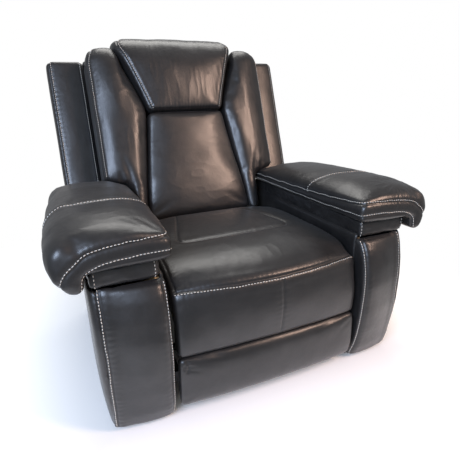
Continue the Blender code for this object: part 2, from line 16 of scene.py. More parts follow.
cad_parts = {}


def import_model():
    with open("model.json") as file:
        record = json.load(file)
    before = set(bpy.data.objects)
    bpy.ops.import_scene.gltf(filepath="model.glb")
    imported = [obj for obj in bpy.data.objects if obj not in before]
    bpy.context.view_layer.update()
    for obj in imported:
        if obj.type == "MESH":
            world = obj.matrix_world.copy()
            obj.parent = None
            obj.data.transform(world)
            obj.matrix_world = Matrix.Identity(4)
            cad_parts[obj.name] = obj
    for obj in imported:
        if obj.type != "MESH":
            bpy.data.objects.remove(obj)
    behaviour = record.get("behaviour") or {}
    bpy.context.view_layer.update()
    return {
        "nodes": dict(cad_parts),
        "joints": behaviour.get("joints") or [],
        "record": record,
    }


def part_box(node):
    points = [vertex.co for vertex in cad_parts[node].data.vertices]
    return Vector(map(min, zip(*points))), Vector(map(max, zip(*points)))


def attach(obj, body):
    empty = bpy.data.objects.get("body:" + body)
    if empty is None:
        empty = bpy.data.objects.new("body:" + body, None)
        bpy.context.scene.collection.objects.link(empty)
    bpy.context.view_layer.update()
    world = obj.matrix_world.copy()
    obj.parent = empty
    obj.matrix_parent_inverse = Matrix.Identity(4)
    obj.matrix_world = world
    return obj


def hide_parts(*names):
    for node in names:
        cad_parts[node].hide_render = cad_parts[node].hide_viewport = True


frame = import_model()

log = logging.getLogger("recliner")

Array = np.ndarray
Point = tuple[float, float, float]

MM = 0.001


class Side(Enum):
    """The two sides of the chair, with the sign of X on each."""

    LEFT = -1.0
    RIGHT = 1.0

    @property
    def word(self) -> str:
        """The side's name as the nodes spell it."""
        return self.name.lower()


# Curves, noise and frames of reference ------------------------------------------------------------


def catmull_rom(points: Array, closed: bool, steps: int = 12) -> Array:
    """Draw a smooth curve through points.

    Args:
        points: The points to pass through, one row each.
        closed: Whether the curve runs back to its first point.
        steps: Samples for each stretch between two points.

    Returns:
        The samples along the curve, one row each.
    """
    if closed:
        padded = np.vstack([points[-1:], points, points[:2]])
    else:
        padded = np.vstack([2.0 * points[:1] - points[1:2], points, 2.0 * points[-1:] - points[-2:-1]])
    part = np.linspace(0.0, 1.0, steps, endpoint=False)[:, None]
    rows = []
    for index in range(len(padded) - 3):
        before, start, end, after = padded[index:index + 4]
        rows.append(0.5 * (2.0 * start + (end - before) * part
                           + (2.0 * before - 5.0 * start + 4.0 * end - after) * part ** 2
                           + (3.0 * start - before - 3.0 * end + after) * part ** 3))
    if not closed:
        rows.append(points[-1:])
    return np.vstack(rows)


def evenly_spaced(curve: Array, count: int, closed: bool) -> Array:
    """Resample a curve to points at equal distances.

    Args:
        curve: The curve's samples.
        count: How many points to return.
        closed: Whether the curve runs back to its first sample.

    Returns:
        The resampled points.
    """
    line = np.vstack([curve, curve[:1]]) if closed else curve
    lengths = run_length(line)
    wanted = np.linspace(0.0, lengths[-1], count, endpoint=not closed)
    return np.stack([np.interp(wanted, lengths, line[:, axis]) for axis in range(line.shape[1])], axis=1)


def smoothed(values: Array, times: int) -> Array:
    """Even out a row of values, keeping its two ends.

    Args:
        values: One row for each place.
        times: How often each place is averaged with its neighbours.

    Returns:
        The evened row.
    """
    values = values.copy()
    for _ in range(times):
        values[1:-1] = 0.25 * values[:-2] + 0.5 * values[1:-1] + 0.25 * values[2:]
    return values


def run_length(line: Array) -> Array:
    """Give each point's distance along a polyline."""
    return np.concatenate([[0.0], np.cumsum(np.linalg.norm(np.diff(line, axis=0), axis=1))])


def smooth_step(value: Array, low: float, high: float) -> Array:
    """Rise smoothly from 0 at low to 1 at high."""
    part = np.clip((value - low) / (high - low), 0.0, 1.0)
    return part * part * (3.0 - 2.0 * part)


class Noise:
    """Smooth repeatable noise on a lattice of seeded random values."""

    SIZE = 48

    def __init__(self, seed: int) -> None:
        """Fill the lattice from a seed."""
        self.table = np.random.default_rng(seed).uniform(-1.0, 1.0, (self.SIZE,) * 3)

    def at(self, points: Array, cell: Sequence[float]) -> Array:
        """Read the noise at points.

        Args:
            points: Places, one row each.
            cell: Lattice spacing along X, Y and Z, in metres.

        Returns:
            One value from -1 to 1 for each point.
        """
        scaled = points / np.asarray(cell, float)
        base = np.floor(scaled).astype(int)
        part = scaled - base
        part = part * part * (3.0 - 2.0 * part)
        total = np.zeros(len(points))
        for corner in product((0, 1), repeat=3):
            index = (base + corner) % self.SIZE
            weight = np.prod(np.where(corner, part, 1.0 - part), axis=1)
            total += weight * self.table[index[:, 0], index[:, 1], index[:, 2]]
        return total


@dataclass(frozen=True)
class LeaningFrame:
    """The back's own frame: X across, d towards its rear and h up along it."""

    origin: Vector
    lean: float

    def place(self, points: Array) -> Array:
        """Turn rows of (x, d, h) into rows of world (x, y, z)."""
        cos, sin = math.cos(self.lean), math.sin(self.lean)
        points = np.asarray(points, float)
        return np.stack([points[:, 0] + self.origin.x,
                         self.origin.y + points[:, 1] * cos + points[:, 2] * sin,
                         self.origin.z + points[:, 2] * cos - points[:, 1] * sin], axis=1)

    def depth(self, points: Array) -> Array:
        """Give each world point's d in this frame."""
        return (points[:, 1] - self.origin.y) * math.cos(self.lean) - (points[:, 2] - self.origin.z) \
            * math.sin(self.lean)


BACK = LeaningFrame(Vector((0.0, 0.125, 0.270)), math.radians(20.0))


def world(points: Array) -> Array:
    """Leave points as they are, for pieces drawn straight in the chair's frame."""
    return np.asarray(points, float)


def leaning_mirror(side: Side) -> Callable[[Array], Array]:
    """Give the placing of a piece drawn for the back's right side, mirrored to a side."""
    def place(points: Array) -> Array:
        """Mirror to the side and lean back."""
        return BACK.place(points * np.array((side.value, 1.0, 1.0)))
    return place


# Meshes -------------------------------------------------------------------------------------------


def coordinates(mesh: bpy.types.Mesh) -> Array:
    """Read a mesh's vertex places."""
    flat = np.empty(len(mesh.vertices) * 3)
    mesh.vertices.foreach_get("co", flat)
    return flat.reshape(-1, 3)


def normals(mesh: bpy.types.Mesh) -> Array:
    """Read a mesh's vertex normals."""
    flat = np.empty(len(mesh.vertices) * 3)
    mesh.vertex_normals.foreach_get("vector", flat)
    return flat.reshape(-1, 3)


def set_coordinates(mesh: bpy.types.Mesh, points: Array) -> None:
    """Write a mesh's vertex places."""
    mesh.vertices.foreach_set("co", points.astype(np.float32).ravel())
    mesh.update()


def edge_pairs(mesh: bpy.types.Mesh) -> Array:
    """Read the two vertices of each edge."""
    flat = np.empty(len(mesh.edges) * 2, np.int32)
    mesh.edges.foreach_get("vertices", flat)
    return flat.reshape(-1, 2)


def relax(points: Array, edges: Array, rounds: int, pull: float = 0.6) -> Array:
    """Smooth vertex places by moving each towards the mean of its neighbours.

    Args:
        points: The vertex places.
        edges: The mesh's edges, as vertex pairs.
        rounds: How many times to smooth.
        pull: How far each vertex goes towards the mean in a round.

    Returns:
        The smoothed places.
    """
    size = len(points)
    count = np.maximum(np.bincount(edges.ravel(), minlength=size), 1)
    moved = points.copy()
    for _ in range(rounds):
        total = np.empty_like(moved)
        for axis in range(3):
            total[:, axis] = np.bincount(edges[:, 0], weights=moved[edges[:, 1], axis], minlength=size)
            total[:, axis] += np.bincount(edges[:, 1], weights=moved[edges[:, 0], axis], minlength=size)
        moved += pull * (total / count[:, None] - moved)
    return moved


def new_object(name: str, mesh: bpy.types.Mesh) -> bpy.types.Object:
    """Link a new object that holds a mesh."""
    made = bpy.data.objects.new(name, mesh)
    bpy.context.scene.collection.objects.link(made)
    return made


def evaluated_mesh(made: bpy.types.Object) -> bpy.types.Mesh:
    """Give a plain mesh of an object with its modifiers applied."""
    graph = bpy.context.evaluated_depsgraph_get()
    return bpy.data.meshes.new_from_object(made.evaluated_get(graph))


def bake_modifiers(made: bpy.types.Object) -> None:
    """Apply every modifier of an object to its mesh."""
    result = evaluated_mesh(made)
    made.modifiers.clear()
    old = made.data
    made.data = result
    bpy.data.meshes.remove(old)


def closed_skin(rings: Sequence[Array]) -> bpy.types.Mesh:
    """Join closed rings of equal length into a closed mesh with flat ends.

    Args:
        rings: World-space rings, in order along the piece.

    Returns:
        The closed mesh, with its faces pointing out.
    """
    count = len(rings[0])
    faces = []
    for level in range(len(rings) - 1):
        for index in range(count):
            following = (index + 1) % count
            faces.append((level * count + index, level * count + following,
                          (level + 1) * count + following, (level + 1) * count + index))
    faces.append(tuple(reversed(range(count))))
    faces.append(tuple((len(rings) - 1) * count + index for index in range(count)))
    mesh = bpy.data.meshes.new("skin")
    mesh.from_pydata(np.vstack(rings).tolist(), [], faces)
    shape = bmesh.new()
    shape.from_mesh(mesh)
    bmesh.ops.recalc_face_normals(shape, faces=shape.faces)
    shape.to_mesh(mesh)
    shape.free()
    return mesh


def inset(ring: Array, amount: float) -> Array:
    """Move a flat ring inwards along its own normals."""
    ahead = np.roll(ring, -1, axis=0) - np.roll(ring, 1, axis=0)
    length = np.maximum(np.linalg.norm(ahead, axis=1, keepdims=True), 1e-9)
    normal = np.stack([-ahead[:, 1], ahead[:, 0]], axis=1) / length
    area = 0.5 * np.sum(ring[:, 0] * np.roll(ring[:, 1], -1) - np.roll(ring[:, 0], -1) * ring[:, 1])
    return ring + normal * amount * (1.0 if area > 0 else -1.0)


def swept_form(section: Callable[[float], Sequence[tuple[float, float]]], span: tuple[float, float],
               axis: str, rounding: tuple[float, float], levels: int, sides: int,
               place: Callable[[Array], Array] = world) -> bpy.types.Mesh:
    """Sweep a changing closed section along an axis and round both ends off.

    Args:
        section: Gives the section's outline points at a place along the axis.
        span: First and last place along the axis.
        axis: "x", "y" or "z", the axis that the section moves along.
        rounding: How far the first and the last end round off.
        levels: Number of sections between the ends.
        sides: Points round each section.
        place: Turns the finished rings into the world's frame.

    Returns:
        The closed mesh.
    """
    start, end = span
    turns = np.linspace(0.15, math.pi / 2.0, 6)
    first, last = rounding
    opening = [(start + first * (1.0 - math.cos(turn)), first * (1.0 - math.sin(turn))) for turn in turns]
    steady = [(value, 0.0) for value in np.linspace(start + first, end - last, levels)[1:-1]]
    closing = [(end - last * (1.0 - math.cos(turn)),
                last * (1.0 - math.sin(turn))) for turn in reversed(turns)]
    rings = []
    for value, depth in opening + steady + closing:
        outline = evenly_spaced(catmull_rom(np.array(section(value), float), True), sides, True)
        flat = inset(outline, depth)
        column = np.full((sides, 1), value)
        order = {"x": (column, flat[:, :1], flat[:, 1:]), "y": (flat[:, :1], column, flat[:, 1:]),
                 "z": (flat[:, :1], flat[:, 1:], column)}[axis]
        rings.append(place(np.hstack(order)))
    return closed_skin(rings)


# Upholstery ---------------------------------------------------------------------------------------


@dataclass
class Seam:
    """A sewn line on a cover.

    Attributes:
        points: Guide points near the surface, in world space.
        depth: How deep the seam pulls the cover in.
        width: Half-width of the valley beside it.
        pucker: Height of the small gathers that cross it.
        pitch: Distance between gathers.
        rows: Offsets of the rows of contrast stitches beside it; empty for a plain seam.
        soft: Width over which the filling swells beside it.
        swell: Height of that swelling.
    """

    points: Sequence[Point]
    depth: float = 2.6 * MM
    width: float = 4.0 * MM
    pucker: float = 0.5 * MM
    pitch: float = 13.0 * MM
    rows: tuple[float, ...] = ()
    soft: float = 16.0 * MM
    swell: float = 0.0

    def sampled(self, spacing: float) -> Array:
        """Give even samples along the seam, about a spacing apart."""
        curve = catmull_rom(np.array(self.points, float), False)
        count = max(int(run_length(curve)[-1] / spacing), 8)
        return evenly_spaced(curve, count, False)


@dataclass
class Fold:
    """A family of soft wrinkles.

    Attributes:
        cell: Size of one wrinkle along X, Y and Z.
        height: Height of the wrinkles.
        seed: Seed of their noise.
        where: Gives the share of the height at each place.
        crease: Above 1 the hollows get sharper than the crests.
        chart: Turns places into the noise's own coordinates, where wrinkles follow a shape.
    """

    cell: Point
    height: float
    seed: int
    where: Callable[[Array], Array] | None = None
    crease: float = 1.0
    chart: Callable[[Array], Array] | None = None


class Surface:
    """Finds the nearest place on a finished cover."""

    def __init__(self, mesh: bpy.types.Mesh) -> None:
        """Index a mesh."""
        polygons = [tuple(polygon.vertices) for polygon in mesh.polygons]
        self.tree = BVHTree.FromPolygons([tuple(row) for row in coordinates(mesh)], polygons)

    def nearest(self, points: Array) -> tuple[Array, Array]:
        """Give the nearest surface place and normal for each point."""
        found = [self.tree.find_nearest(Vector(point)) for point in points]
        return np.array([item[0] for item in found]), np.array([item[1] for item in found])


def nearest_on_line(points: Array, line: Array) -> tuple[Array, Array]:
    """Measure how far points are from a densely sampled line.

    Args:
        points: Places to measure.
        line: Samples along the line, closer together than the accuracy needed.

    Returns:
        Each point's distance, and the index of the nearest sample.
    """
    distance = np.empty(len(points))
    index = np.empty(len(points), int)
    size = np.sum(line * line, axis=1)
    for first in range(0, len(points), 8192):
        part = points[first:first + 8192]
        squares = np.sum(part * part, axis=1)[:, None] - 2.0 * part @ line.T + size
        nearest = np.argmin(squares, axis=1)
        index[first:first + 8192] = nearest
        distance[first:first + 8192] = np.linalg.norm(part - line[nearest], axis=1)
    return distance, index


class Cover:
    """One upholstered piece, from its first closed shape to its finished mesh."""

    def __init__(self, name: str, body: str, nodes: Sequence[str], form: bpy.types.Mesh,
                 voxel: float = 7.0 * MM, smooth: int = 4) -> None:
        """Remesh a closed form evenly and smooth it.

        Args:
            name: Name of the finished piece.
            body: CAD body that it rides on.
            nodes: CAD nodes that it stands for.
            form: The closed starting shape.
            voxel: Edge length of the even mesh.
            smooth: Rounds of smoothing after remeshing.
        """
        self.name = name
        self.body = body
        self.nodes = nodes
        self.made = new_object(name, form)
        remesh = self.made.modifiers.new("Remesh", "REMESH")
        remesh.mode = "VOXEL"
        remesh.voxel_size = voxel
        bake_modifiers(self.made)
        self.mesh = self.made.data
        set_coordinates(self.mesh, relax(coordinates(self.mesh), edge_pairs(self.mesh), smooth))
        self.rest = coordinates(self.mesh)
        self.stitch_lines: list[Array] = []

    def start_filling(self, pressure: float, held: Callable[[Array], Array]) -> None:
        """Give the cover a cloth simulation that its filling blows up.

        Args:
            pressure: Pressure of the filling.
            held: Gives how firmly each place is held, from 0 to 1.
        """
        group = self.made.vertex_groups.new(name="held")
        weights = np.clip(held(self.rest), 0.0, 1.0)
        for index in np.nonzero(weights > 0.02)[0]:
            group.add([int(index)], float(weights[index]), "REPLACE")
        cloth = self.made.modifiers.new("Cloth", "CLOTH")
        cloth.settings.use_pressure = True
        cloth.settings.uniform_pressure_force = pressure
        cloth.settings.effector_weights.gravity = 0.0
        cloth.settings.vertex_group_mass = "held"
        cloth.settings.quality = 4
        cloth.collision_settings.use_collision = False

    def stop_filling(self, cap: float) -> None:
        """Keep the simulated shape, with no point moved further than the cap."""
        graph = bpy.context.evaluated_depsgraph_get()
        moved = coordinates(self.made.evaluated_get(graph).data)
        step = moved - self.rest
        length = np.maximum(np.linalg.norm(step, axis=1, keepdims=True), 1e-9)
        step *= cap * np.tanh(length / cap) / length
        self.made.modifiers.clear()
        self.made.vertex_groups.clear()
        points = relax(self.rest + step, edge_pairs(self.mesh), 2)
        log.info("%s swelled by up to %.1f mm", self.name, 1000.0 * float(length.max()))
        set_coordinates(self.mesh, points)

    def refine(self) -> None:
        """Subdivide once, to the finished fineness."""
        finer = self.made.modifiers.new("Subdivision", "SUBSURF")
        finer.levels = 1
        finer.render_levels = 1
        bake_modifiers(self.made)
        self.mesh = self.made.data

    def fold(self, folds: Sequence[Fold]) -> None:
        """Raise soft wrinkles on the cover."""
        points = coordinates(self.mesh)
        facing = normals(self.mesh)
        lift = np.zeros(len(points))
        for item in folds:
            value = Noise(item.seed).at(points if item.chart is None else item.chart(points), item.cell)
            if item.crease > 1.0:
                value = 1.0 - 2.0 * np.abs(value) ** (1.0 / item.crease)
            share = 1.0 if item.where is None else item.where(points)
            lift += item.height * value * share
        set_coordinates(self.mesh, points + facing * lift[:, None])

    def sew(self, seams: Sequence[Seam], seed: int = 5) -> None:
        """Pull seams into the cover and note where their stitches run.

        Args:
            seams: The seams, which are first laid on the surface.
            seed: Seed of the irregularity of the gathers.
        """
        noise = Noise(seed)
        surface = Surface(self.mesh)
        points = coordinates(self.mesh)
        facing = normals(self.mesh)
        lift = np.zeros(len(points))
        seam_shade_mask = np.zeros(len(points))
        laid = []
        for seam in seams:
            line = surface.nearest(seam.sampled(2.0 * MM))[0]
            laid.append(line)
            distance, index = nearest_on_line(points, line)
            along = run_length(line)[index]
            valley = np.exp(-(distance / seam.width) ** 2)
            beside = np.exp(-((distance - seam.soft) / (0.6 * seam.soft)) ** 2)
            wobble = noise.at(np.stack([along, distance, np.zeros_like(along)], axis=1),
                              (2.2 * seam.pitch, 30.0 * MM, 1.0))
            gathers = np.sin(2.0 * math.pi * along / seam.pitch + 2.5 * wobble)
            reach = np.exp(-(distance / (1.4 * seam.soft)) ** 2) * (1.0 - 0.7 * valley)
            lift += -seam.depth * valley + seam.swell * beside
            lift += seam.pucker * gathers * (0.6 + 0.4 * wobble) * reach
            # This mask marks a narrow line along each seam, where the leather paints shade to stand in for
            # the shadow in the groove and dulls its shine.
            seam_shade_mask = np.maximum(seam_shade_mask, np.exp(-(distance / (0.55 * seam.width)) ** 2))
        set_coordinates(self.mesh, points + facing * lift[:, None])
        attribute = self.mesh.attributes.new("seam", "FLOAT", "POINT")
        attribute.data.foreach_set("value", seam_shade_mask.astype(np.float32))
        surface = Surface(self.mesh)
        for seam, line in zip(seams, laid):
            for offset in seam.rows:
                self.stitch_lines.append(self.beside(surface, line, offset))

    @staticmethod
    def beside(surface: Surface, line: Array, offset: float) -> Array:
        """Lay a line on the surface at a distance to one side of a seam.

        Args:
            surface: The sewn surface.
            line: The seam's own line.
            offset: Distance to the side; its sign says which side.

        Returns:
            The laid line.
        """
        place, facing = (smoothed(part, 25) for part in surface.nearest(line))
        ahead = np.gradient(place, axis=0)
        across = np.cross(facing, ahead)
        across /= np.maximum(np.linalg.norm(across, axis=1, keepdims=True), 1e-9)
        place, facing = surface.nearest(smoothed(place + across * offset, 10))
        return place + facing * 0.25 * MM

    def finish(self, material: bpy.types.Material, fill: float | None) -> None:
        """Dress the piece and hang it on its body.

        Args:
            material: The leather that covers it.
            fill: How full it is, or None for leather stretched over a board; not used.
        """
        self.mesh.materials.clear()
        self.mesh.materials.append(material)
        self.mesh.shade_smooth()
        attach(self.made, self.body)
        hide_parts(*self.nodes)
        log.info("%s: %d faces", self.name, len(self.mesh.polygons))


@dataclass
class Pad:
    """A cover with what the upholsterer does to it.

    Attributes:
        cover: The cover.
        seams: Its sewn lines.
        folds: Its wrinkles.
        fill: How full it is, or None for leather over a board.
        cap: How far its filling may push it, or 0 for no simulation.
        pressure: Pressure of its filling.
        held: How firmly each place is held while it fills.
        fine: Whether its mesh is subdivided once more.
    """

    cover: Cover
    seams: list[Seam] = field(default_factory=list)
    folds: list[Fold] = field(default_factory=list)
    fill: float | None = 0.7
    cap: float = 0.0
    pressure: float = 4.0
    held: Callable[[Array], Array] = lambda points: np.zeros(len(points))
    fine: bool = True


def near_seams(seams: Sequence[Seam], reach: float) -> Callable[[Array], Array]:
    """Hold a cover along its seams.

    Args:
        seams: The seams.
        reach: How far from a seam the hold fades out.

    Returns:
        A function that gives the hold at each place.
    """
    def hold(points: Array) -> Array:
        """Give the strongest hold of any seam."""
        firm = np.zeros(len(points))
        for seam in seams:
            distance = nearest_on_line(points, seam.sampled(3.0 * MM))[0]
            firm = np.maximum(firm, 1.0 - smooth_step(distance, 0.3 * reach, reach))
        return firm
    return hold


FILLING_FRAMES = 20


def fill_pads(pads: Sequence[Pad]) -> None:
    """Blow up every pad that has a filling, all in one simulation.

    Args:
        pads: The pads; those with no cap are left as they are.
    """
    soft = [pad for pad in pads if pad.cap > 0.0]
    for pad in soft:
        pad.cover.start_filling(pad.pressure, pad.held)
    scene = bpy.context.scene
    for number in range(1, FILLING_FRAMES + 1):
        scene.frame_set(number)
    for pad in soft:
        pad.cover.stop_filling(pad.cap)
    scene.frame_set(1)


# The seat -----------------------------------------------------------------------------------------


@dataclass
class Seat:
    """The seat's cover: a crowned top, a front seam and a panel that bulges below it."""

    half: float = 0.289
    front: float = -0.524
    bow: float = 0.046
    seam_height: float = 0.398
    crown_fall: float = 0.020
    rounding: float = 0.013

    def front_shift(self, x: float) -> float:
        """Give how far the front recedes towards the sides."""
        return self.bow * (abs(x) / self.half) ** 2

    def section(self, x: float) -> list[tuple[float, float]]:
        """Give the side outline, in Y and Z, at a place across the seat."""
        low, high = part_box("seat_cushion")
        back = self.front_shift(x)
        fall = self.crown_fall * (abs(x) / self.half) ** 3
        sill = high.z - fall
        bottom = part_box("seat_front_panel")[0].z
        front = self.front
        return [(high.y - 0.006, low.z + 0.006), (high.y - 0.004, 0.350), (high.y - 0.010, sill - 0.044),
                (0.020, sill - 0.022), (-0.060, sill - 0.012), (-0.160, sill - 0.006),
                (-0.260, sill - 0.005),
                (-0.360, sill - 0.006), (-0.440 + 0.4 * back, sill - 0.014),
                (-0.488 + 0.8 * back, sill - 0.030),
                (-0.512 + back, sill - 0.046), (front + back, self.seam_height),
                (front - 0.008 + 0.85 * back, self.seam_height - 0.028), (front - 0.012 + 0.65 * back,
                                                                          0.325),
                (front - 0.011 + 0.45 * back, 0.280), (front - 0.006 + 0.32 * back, 0.240),
                (front - 0.001 + 0.26 * back, bottom + 0.006), (front + 0.004 + 0.25 * back,
                                                                bottom - 0.005),
                (front + 0.014 + 0.25 * back, bottom - 0.008), (-0.484, bottom - 0.007),
                (-0.472, bottom - 0.002),
                (-0.467, 0.250), (-0.466, 0.290),
                (-0.452, low.z + 0.004), (-0.400, low.z + 0.003), (-0.250, low.z + 0.003),
                (-0.080, low.z + 0.003)]

    def seams(self) -> list[Seam]:
        """List the seat's seams."""
        front = [(x, self.front - 0.004 + self.front_shift(x), self.seam_height)
                 for x in np.linspace(-0.285, 0.285, 11)]
        top = 0.447
        inset = [(-0.128, 0.030, top - 0.015), (-0.162, -0.100, top - 0.004), (-0.194, -0.215, top),
                 (-0.200, -0.262, top), (-0.172, -0.284, top), (-0.090, -0.292, top), (0.0, -0.294, top),
                 (0.084, -0.290, top), (0.152, -0.280, top), (0.184, -0.254, top), (0.181, -0.210, top),
                 (0.155, -0.100, top - 0.004), (0.124, 0.030, top - 0.015)]
        middle = [(0.015, self.front - 0.012, z) for z in (0.386, 0.350, 0.300, 0.250, 0.215)]
        made = [Seam(front, depth=4.0 * MM, width=5.0 * MM, pucker=0.35 * MM, pitch=15.0 * MM,
                     rows=(-7.0 * MM,), soft=20.0 * MM, swell=1.6 * MM),
                Seam(inset, depth=3.4 * MM, width=4.2 * MM, pucker=0.3 * MM, pitch=18.0 * MM,
                     soft=20.0 * MM,
                     swell=1.0 * MM),
                Seam(middle, depth=2.2 * MM, width=3.2 * MM, pucker=0.35 * MM, pitch=17.0 * MM)]
        for side in Side:
            edge = [(side.value * 0.277, y, z) for y, z in ((0.050, 0.415), (-0.100, 0.425),
                                                            (-0.250, 0.430),
                                                            (-0.380, 0.424), (-0.450, 0.402),
                                                            (-0.480, 0.391))]
            made.append(Seam(edge, depth=2.4 * MM, width=3.5 * MM, pucker=0.5 * MM))
        return made

    def pads(self) -> list[Pad]:
        """Build the seat's cover."""
        form = swept_form(self.section, (-self.half, self.half), "x", (self.rounding, self.rounding), 34,
                          150)
        cover = Cover("seat_cover", "seat", ("seat_cushion", "seat_front_panel"), form)
        seams = self.seams()

        def held(points: Array) -> Array:
            """Hold the seams, the underside, the rear and the lower hem."""
            rest = 1.0 - smooth_step(points[:, 2], 0.306, 0.330)
            rest *= smooth_step(points[:, 1], -0.480, -0.450)
            hem = 1.0 - smooth_step(points[:, 2], 0.212, 0.235)
            rear = smooth_step(points[:, 1], -0.010, 0.050)
            side = smooth_step(np.abs(points[:, 0]), 0.270, 0.287)
            return np.maximum.reduce([rest, hem, rear, side, near_seams(seams[:3], 14.0 * MM)(points)])

        def top(points: Array) -> Array:
            """Say where the sitting surface is."""
            return smooth_step(points[:, 2], 0.405, 0.430)

        folds = [Fold((0.090, 0.060, 0.060), 1.2 * MM, 11, None),
                 Fold((0.034, 0.075, 0.050), 0.30 * MM, 12, top, 2.0),
                 Fold((0.024, 0.020, 0.022), 0.12 * MM, 13, None)]
        return [Pad(cover, seams, folds, 0.75, 16.0 * MM, 4.0, held)]


# The back -----------------------------------------------------------------------------------------


@dataclass
class Back:
    """The back's covers: lumbar pad, side bolsters, wings, top roll and rear cover."""

    pad_front: float = -0.078
    pad_rear: float = 0.044
    lumbar_low: float = 0.104
    lumbar_high: float = 0.5325
    bolster_low: float = 0.102
    bolster_high: float = 0.798
    wing_low: float = 0.252
    wing_high: float = 0.788

    def lumbar_half(self, h: float) -> float:
        """Give the lumbar pad's half width at a height."""
        return float(np.interp(h, (0.100, 0.120, 0.528), (0.2145, 0.2185, 0.1585)))

    def lumbar_section(self, h: float) -> list[tuple[float, float]]:
        """Give the lumbar pad's outline in X and d."""
        half = self.lumbar_half(h)
        belly = 0.010 * math.exp(-((h - 0.220) / 0.110) ** 2) + 0.003
        front = self.pad_front - belly
        right = [(half - 0.014, self.pad_rear), (half, self.pad_rear - 0.016), (half, -0.020),
                 (half, -0.048),
                 (half - 0.004, front + 0.013), (half - 0.018, front + 0.004), (half * 0.72, front - 0.001),
                 (half * 0.36, front - 0.003), (0.0, front - 0.004)]
        left = [(-x, d) for x, d in reversed(right[:-1])]
        return right + left

    def bolster_edges(self, h: float) -> tuple[float, float]:
        """Give a bolster's inner and outer X at a height."""
        inner = np.interp(h, (0.098, 0.500, 0.532, 0.564, 0.640, 0.720, 0.775, 0.800),
                          (0.216, 0.161, 0.157, 0.162, 0.191, 0.2245, 0.2455, 0.2465))
        outer = np.interp(h, (0.098, 0.120, 0.258, 0.266, 0.274, 0.290, 0.735, 0.768, 0.787, 0.800),
                          (0.264, 0.274, 0.278, 0.300, 0.348, 0.364, 0.364, 0.356, 0.344, 0.330))
        return float(inner), float(outer)

    def bolster_section(self, h: float) -> list[tuple[float, float]]:
        """Give the right bolster's outline in X and d."""
        inner, outer = self.bolster_edges(h)
        wide = outer - inner
        front = self.pad_front - 0.006 + 0.034 * (max(h - 0.735, 0.0) / 0.065) ** 2
        return [(inner + 0.008, self.pad_rear), (inner + 0.5 * wide, self.pad_rear),
                (outer - 0.010, self.pad_rear), (outer, self.pad_rear - 0.014), (outer, -0.010),
                (outer - 0.001, -0.034), (outer - 0.010, front + 0.020), (outer - 0.026, front + 0.008),
                (outer - 0.36 * wide, front), (inner + 0.42 * wide, front - 0.002),
                (inner + 0.014, front + 0.002),
                (inner + 0.002, front + 0.010), (inner, -0.034), (inner, -0.012),
                (inner, self.pad_rear - 0.016)]

    def wing_section(self, h: float) -> list[tuple[float, float]]:
        """Give the right wing's outline in X and d."""
        low, high = 0.3560, 0.5000
        front, rear = 0.051, 0.154
        return [(low + 0.010, rear), (0.430, rear), (high - 0.010, rear), (high, rear - 0.012),
                (high + 0.001, 0.105), (high - 0.001, front + 0.022), (high - 0.010, front + 0.004),
                (high - 0.034, front - 0.003), (0.434, front - 0.005), (low + 0.034, front - 0.003),
                (low + 0.010, front + 0.004), (low + 0.001, front + 0.022), (low, 0.105),
                (low, rear - 0.012)]

    def lumbar(self) -> Pad:
        """Build the lumbar pad."""
        form = swept_form(self.lumbar_section, (self.lumbar_low, self.lumbar_high), "z", (0.020, 0.010),
                          60, 110,
                          BACK.place)
        cover = Cover("lumbar_cover", "back", ("lumbar_pad",), form)
        rims = []
        for side in Side:
            rim = [(side.value * (self.lumbar_half(h) - 0.006), self.pad_front + 0.004, h)
                   for h in (0.110, 0.200, 0.280, 0.360, 0.440, 0.525)]
            rims.append(Seam(BACK.place(rim), depth=0.0, width=4.0 * MM, pucker=0.0))

        def held(points: Array) -> Array:
            """Hold the seams and the rear face."""
            depth = BACK.depth(points)
            return np.maximum(smooth_step(depth, -0.040, 0.000), near_seams(rims, 10.0 * MM)(points))

        folds = [Fold((0.080, 0.060, 0.070), 1.2 * MM, 21), Fold((0.060, 0.040, 0.028), 0.25 * MM, 22,
                                                                 None, 2.0)]
        return Pad(cover, [], folds, 0.7, 7.0 * MM, 2.5, held)

    def bolster(self, side: Side) -> Pad:
        """Build one side bolster."""
        sign = side.value
        place = leaning_mirror(side)
        form = swept_form(self.bolster_section, (self.bolster_low, self.bolster_high), "z", (0.012, 0.014),
                          90,
                          110, place)
        cover = Cover(f"bolster_cover_{side.word}", "back", (f"back_bolster_{side.word}",), form)
        outer = [(self.bolster_edges(h)[1] - 0.008, -0.066, h)
                 for h in (0.300, 0.400, 0.480, 0.560, 0.640, 0.720, 0.755)]
        over = [(0.338, -0.046, 0.790), (0.332, 0.020, 0.798)]
        seams = [Seam(place(np.array(outer + over)), depth=2.8 * MM, width=3.6 * MM, pucker=0.4 * MM,
                      pitch=15.0 * MM, rows=(sign * 6.0 * MM,), soft=14.0 * MM, swell=1.0 * MM)]

        def held(points: Array) -> Array:
            """Hold the seams and the rear face."""
            depth = BACK.depth(points)
            return np.maximum(smooth_step(depth, -0.025, 0.010), near_seams(seams, 10.0 * MM)(points))

        folds = [Fold((0.045, 0.060, 0.120), 1.5 * MM, 31 + int(sign)),
                 Fold((0.022, 0.040, 0.070), 0.35 * MM, 34 + int(sign), None, 2.0)]
        return Pad(cover, seams, folds, 0.7, 9.0 * MM, 3.0, held)

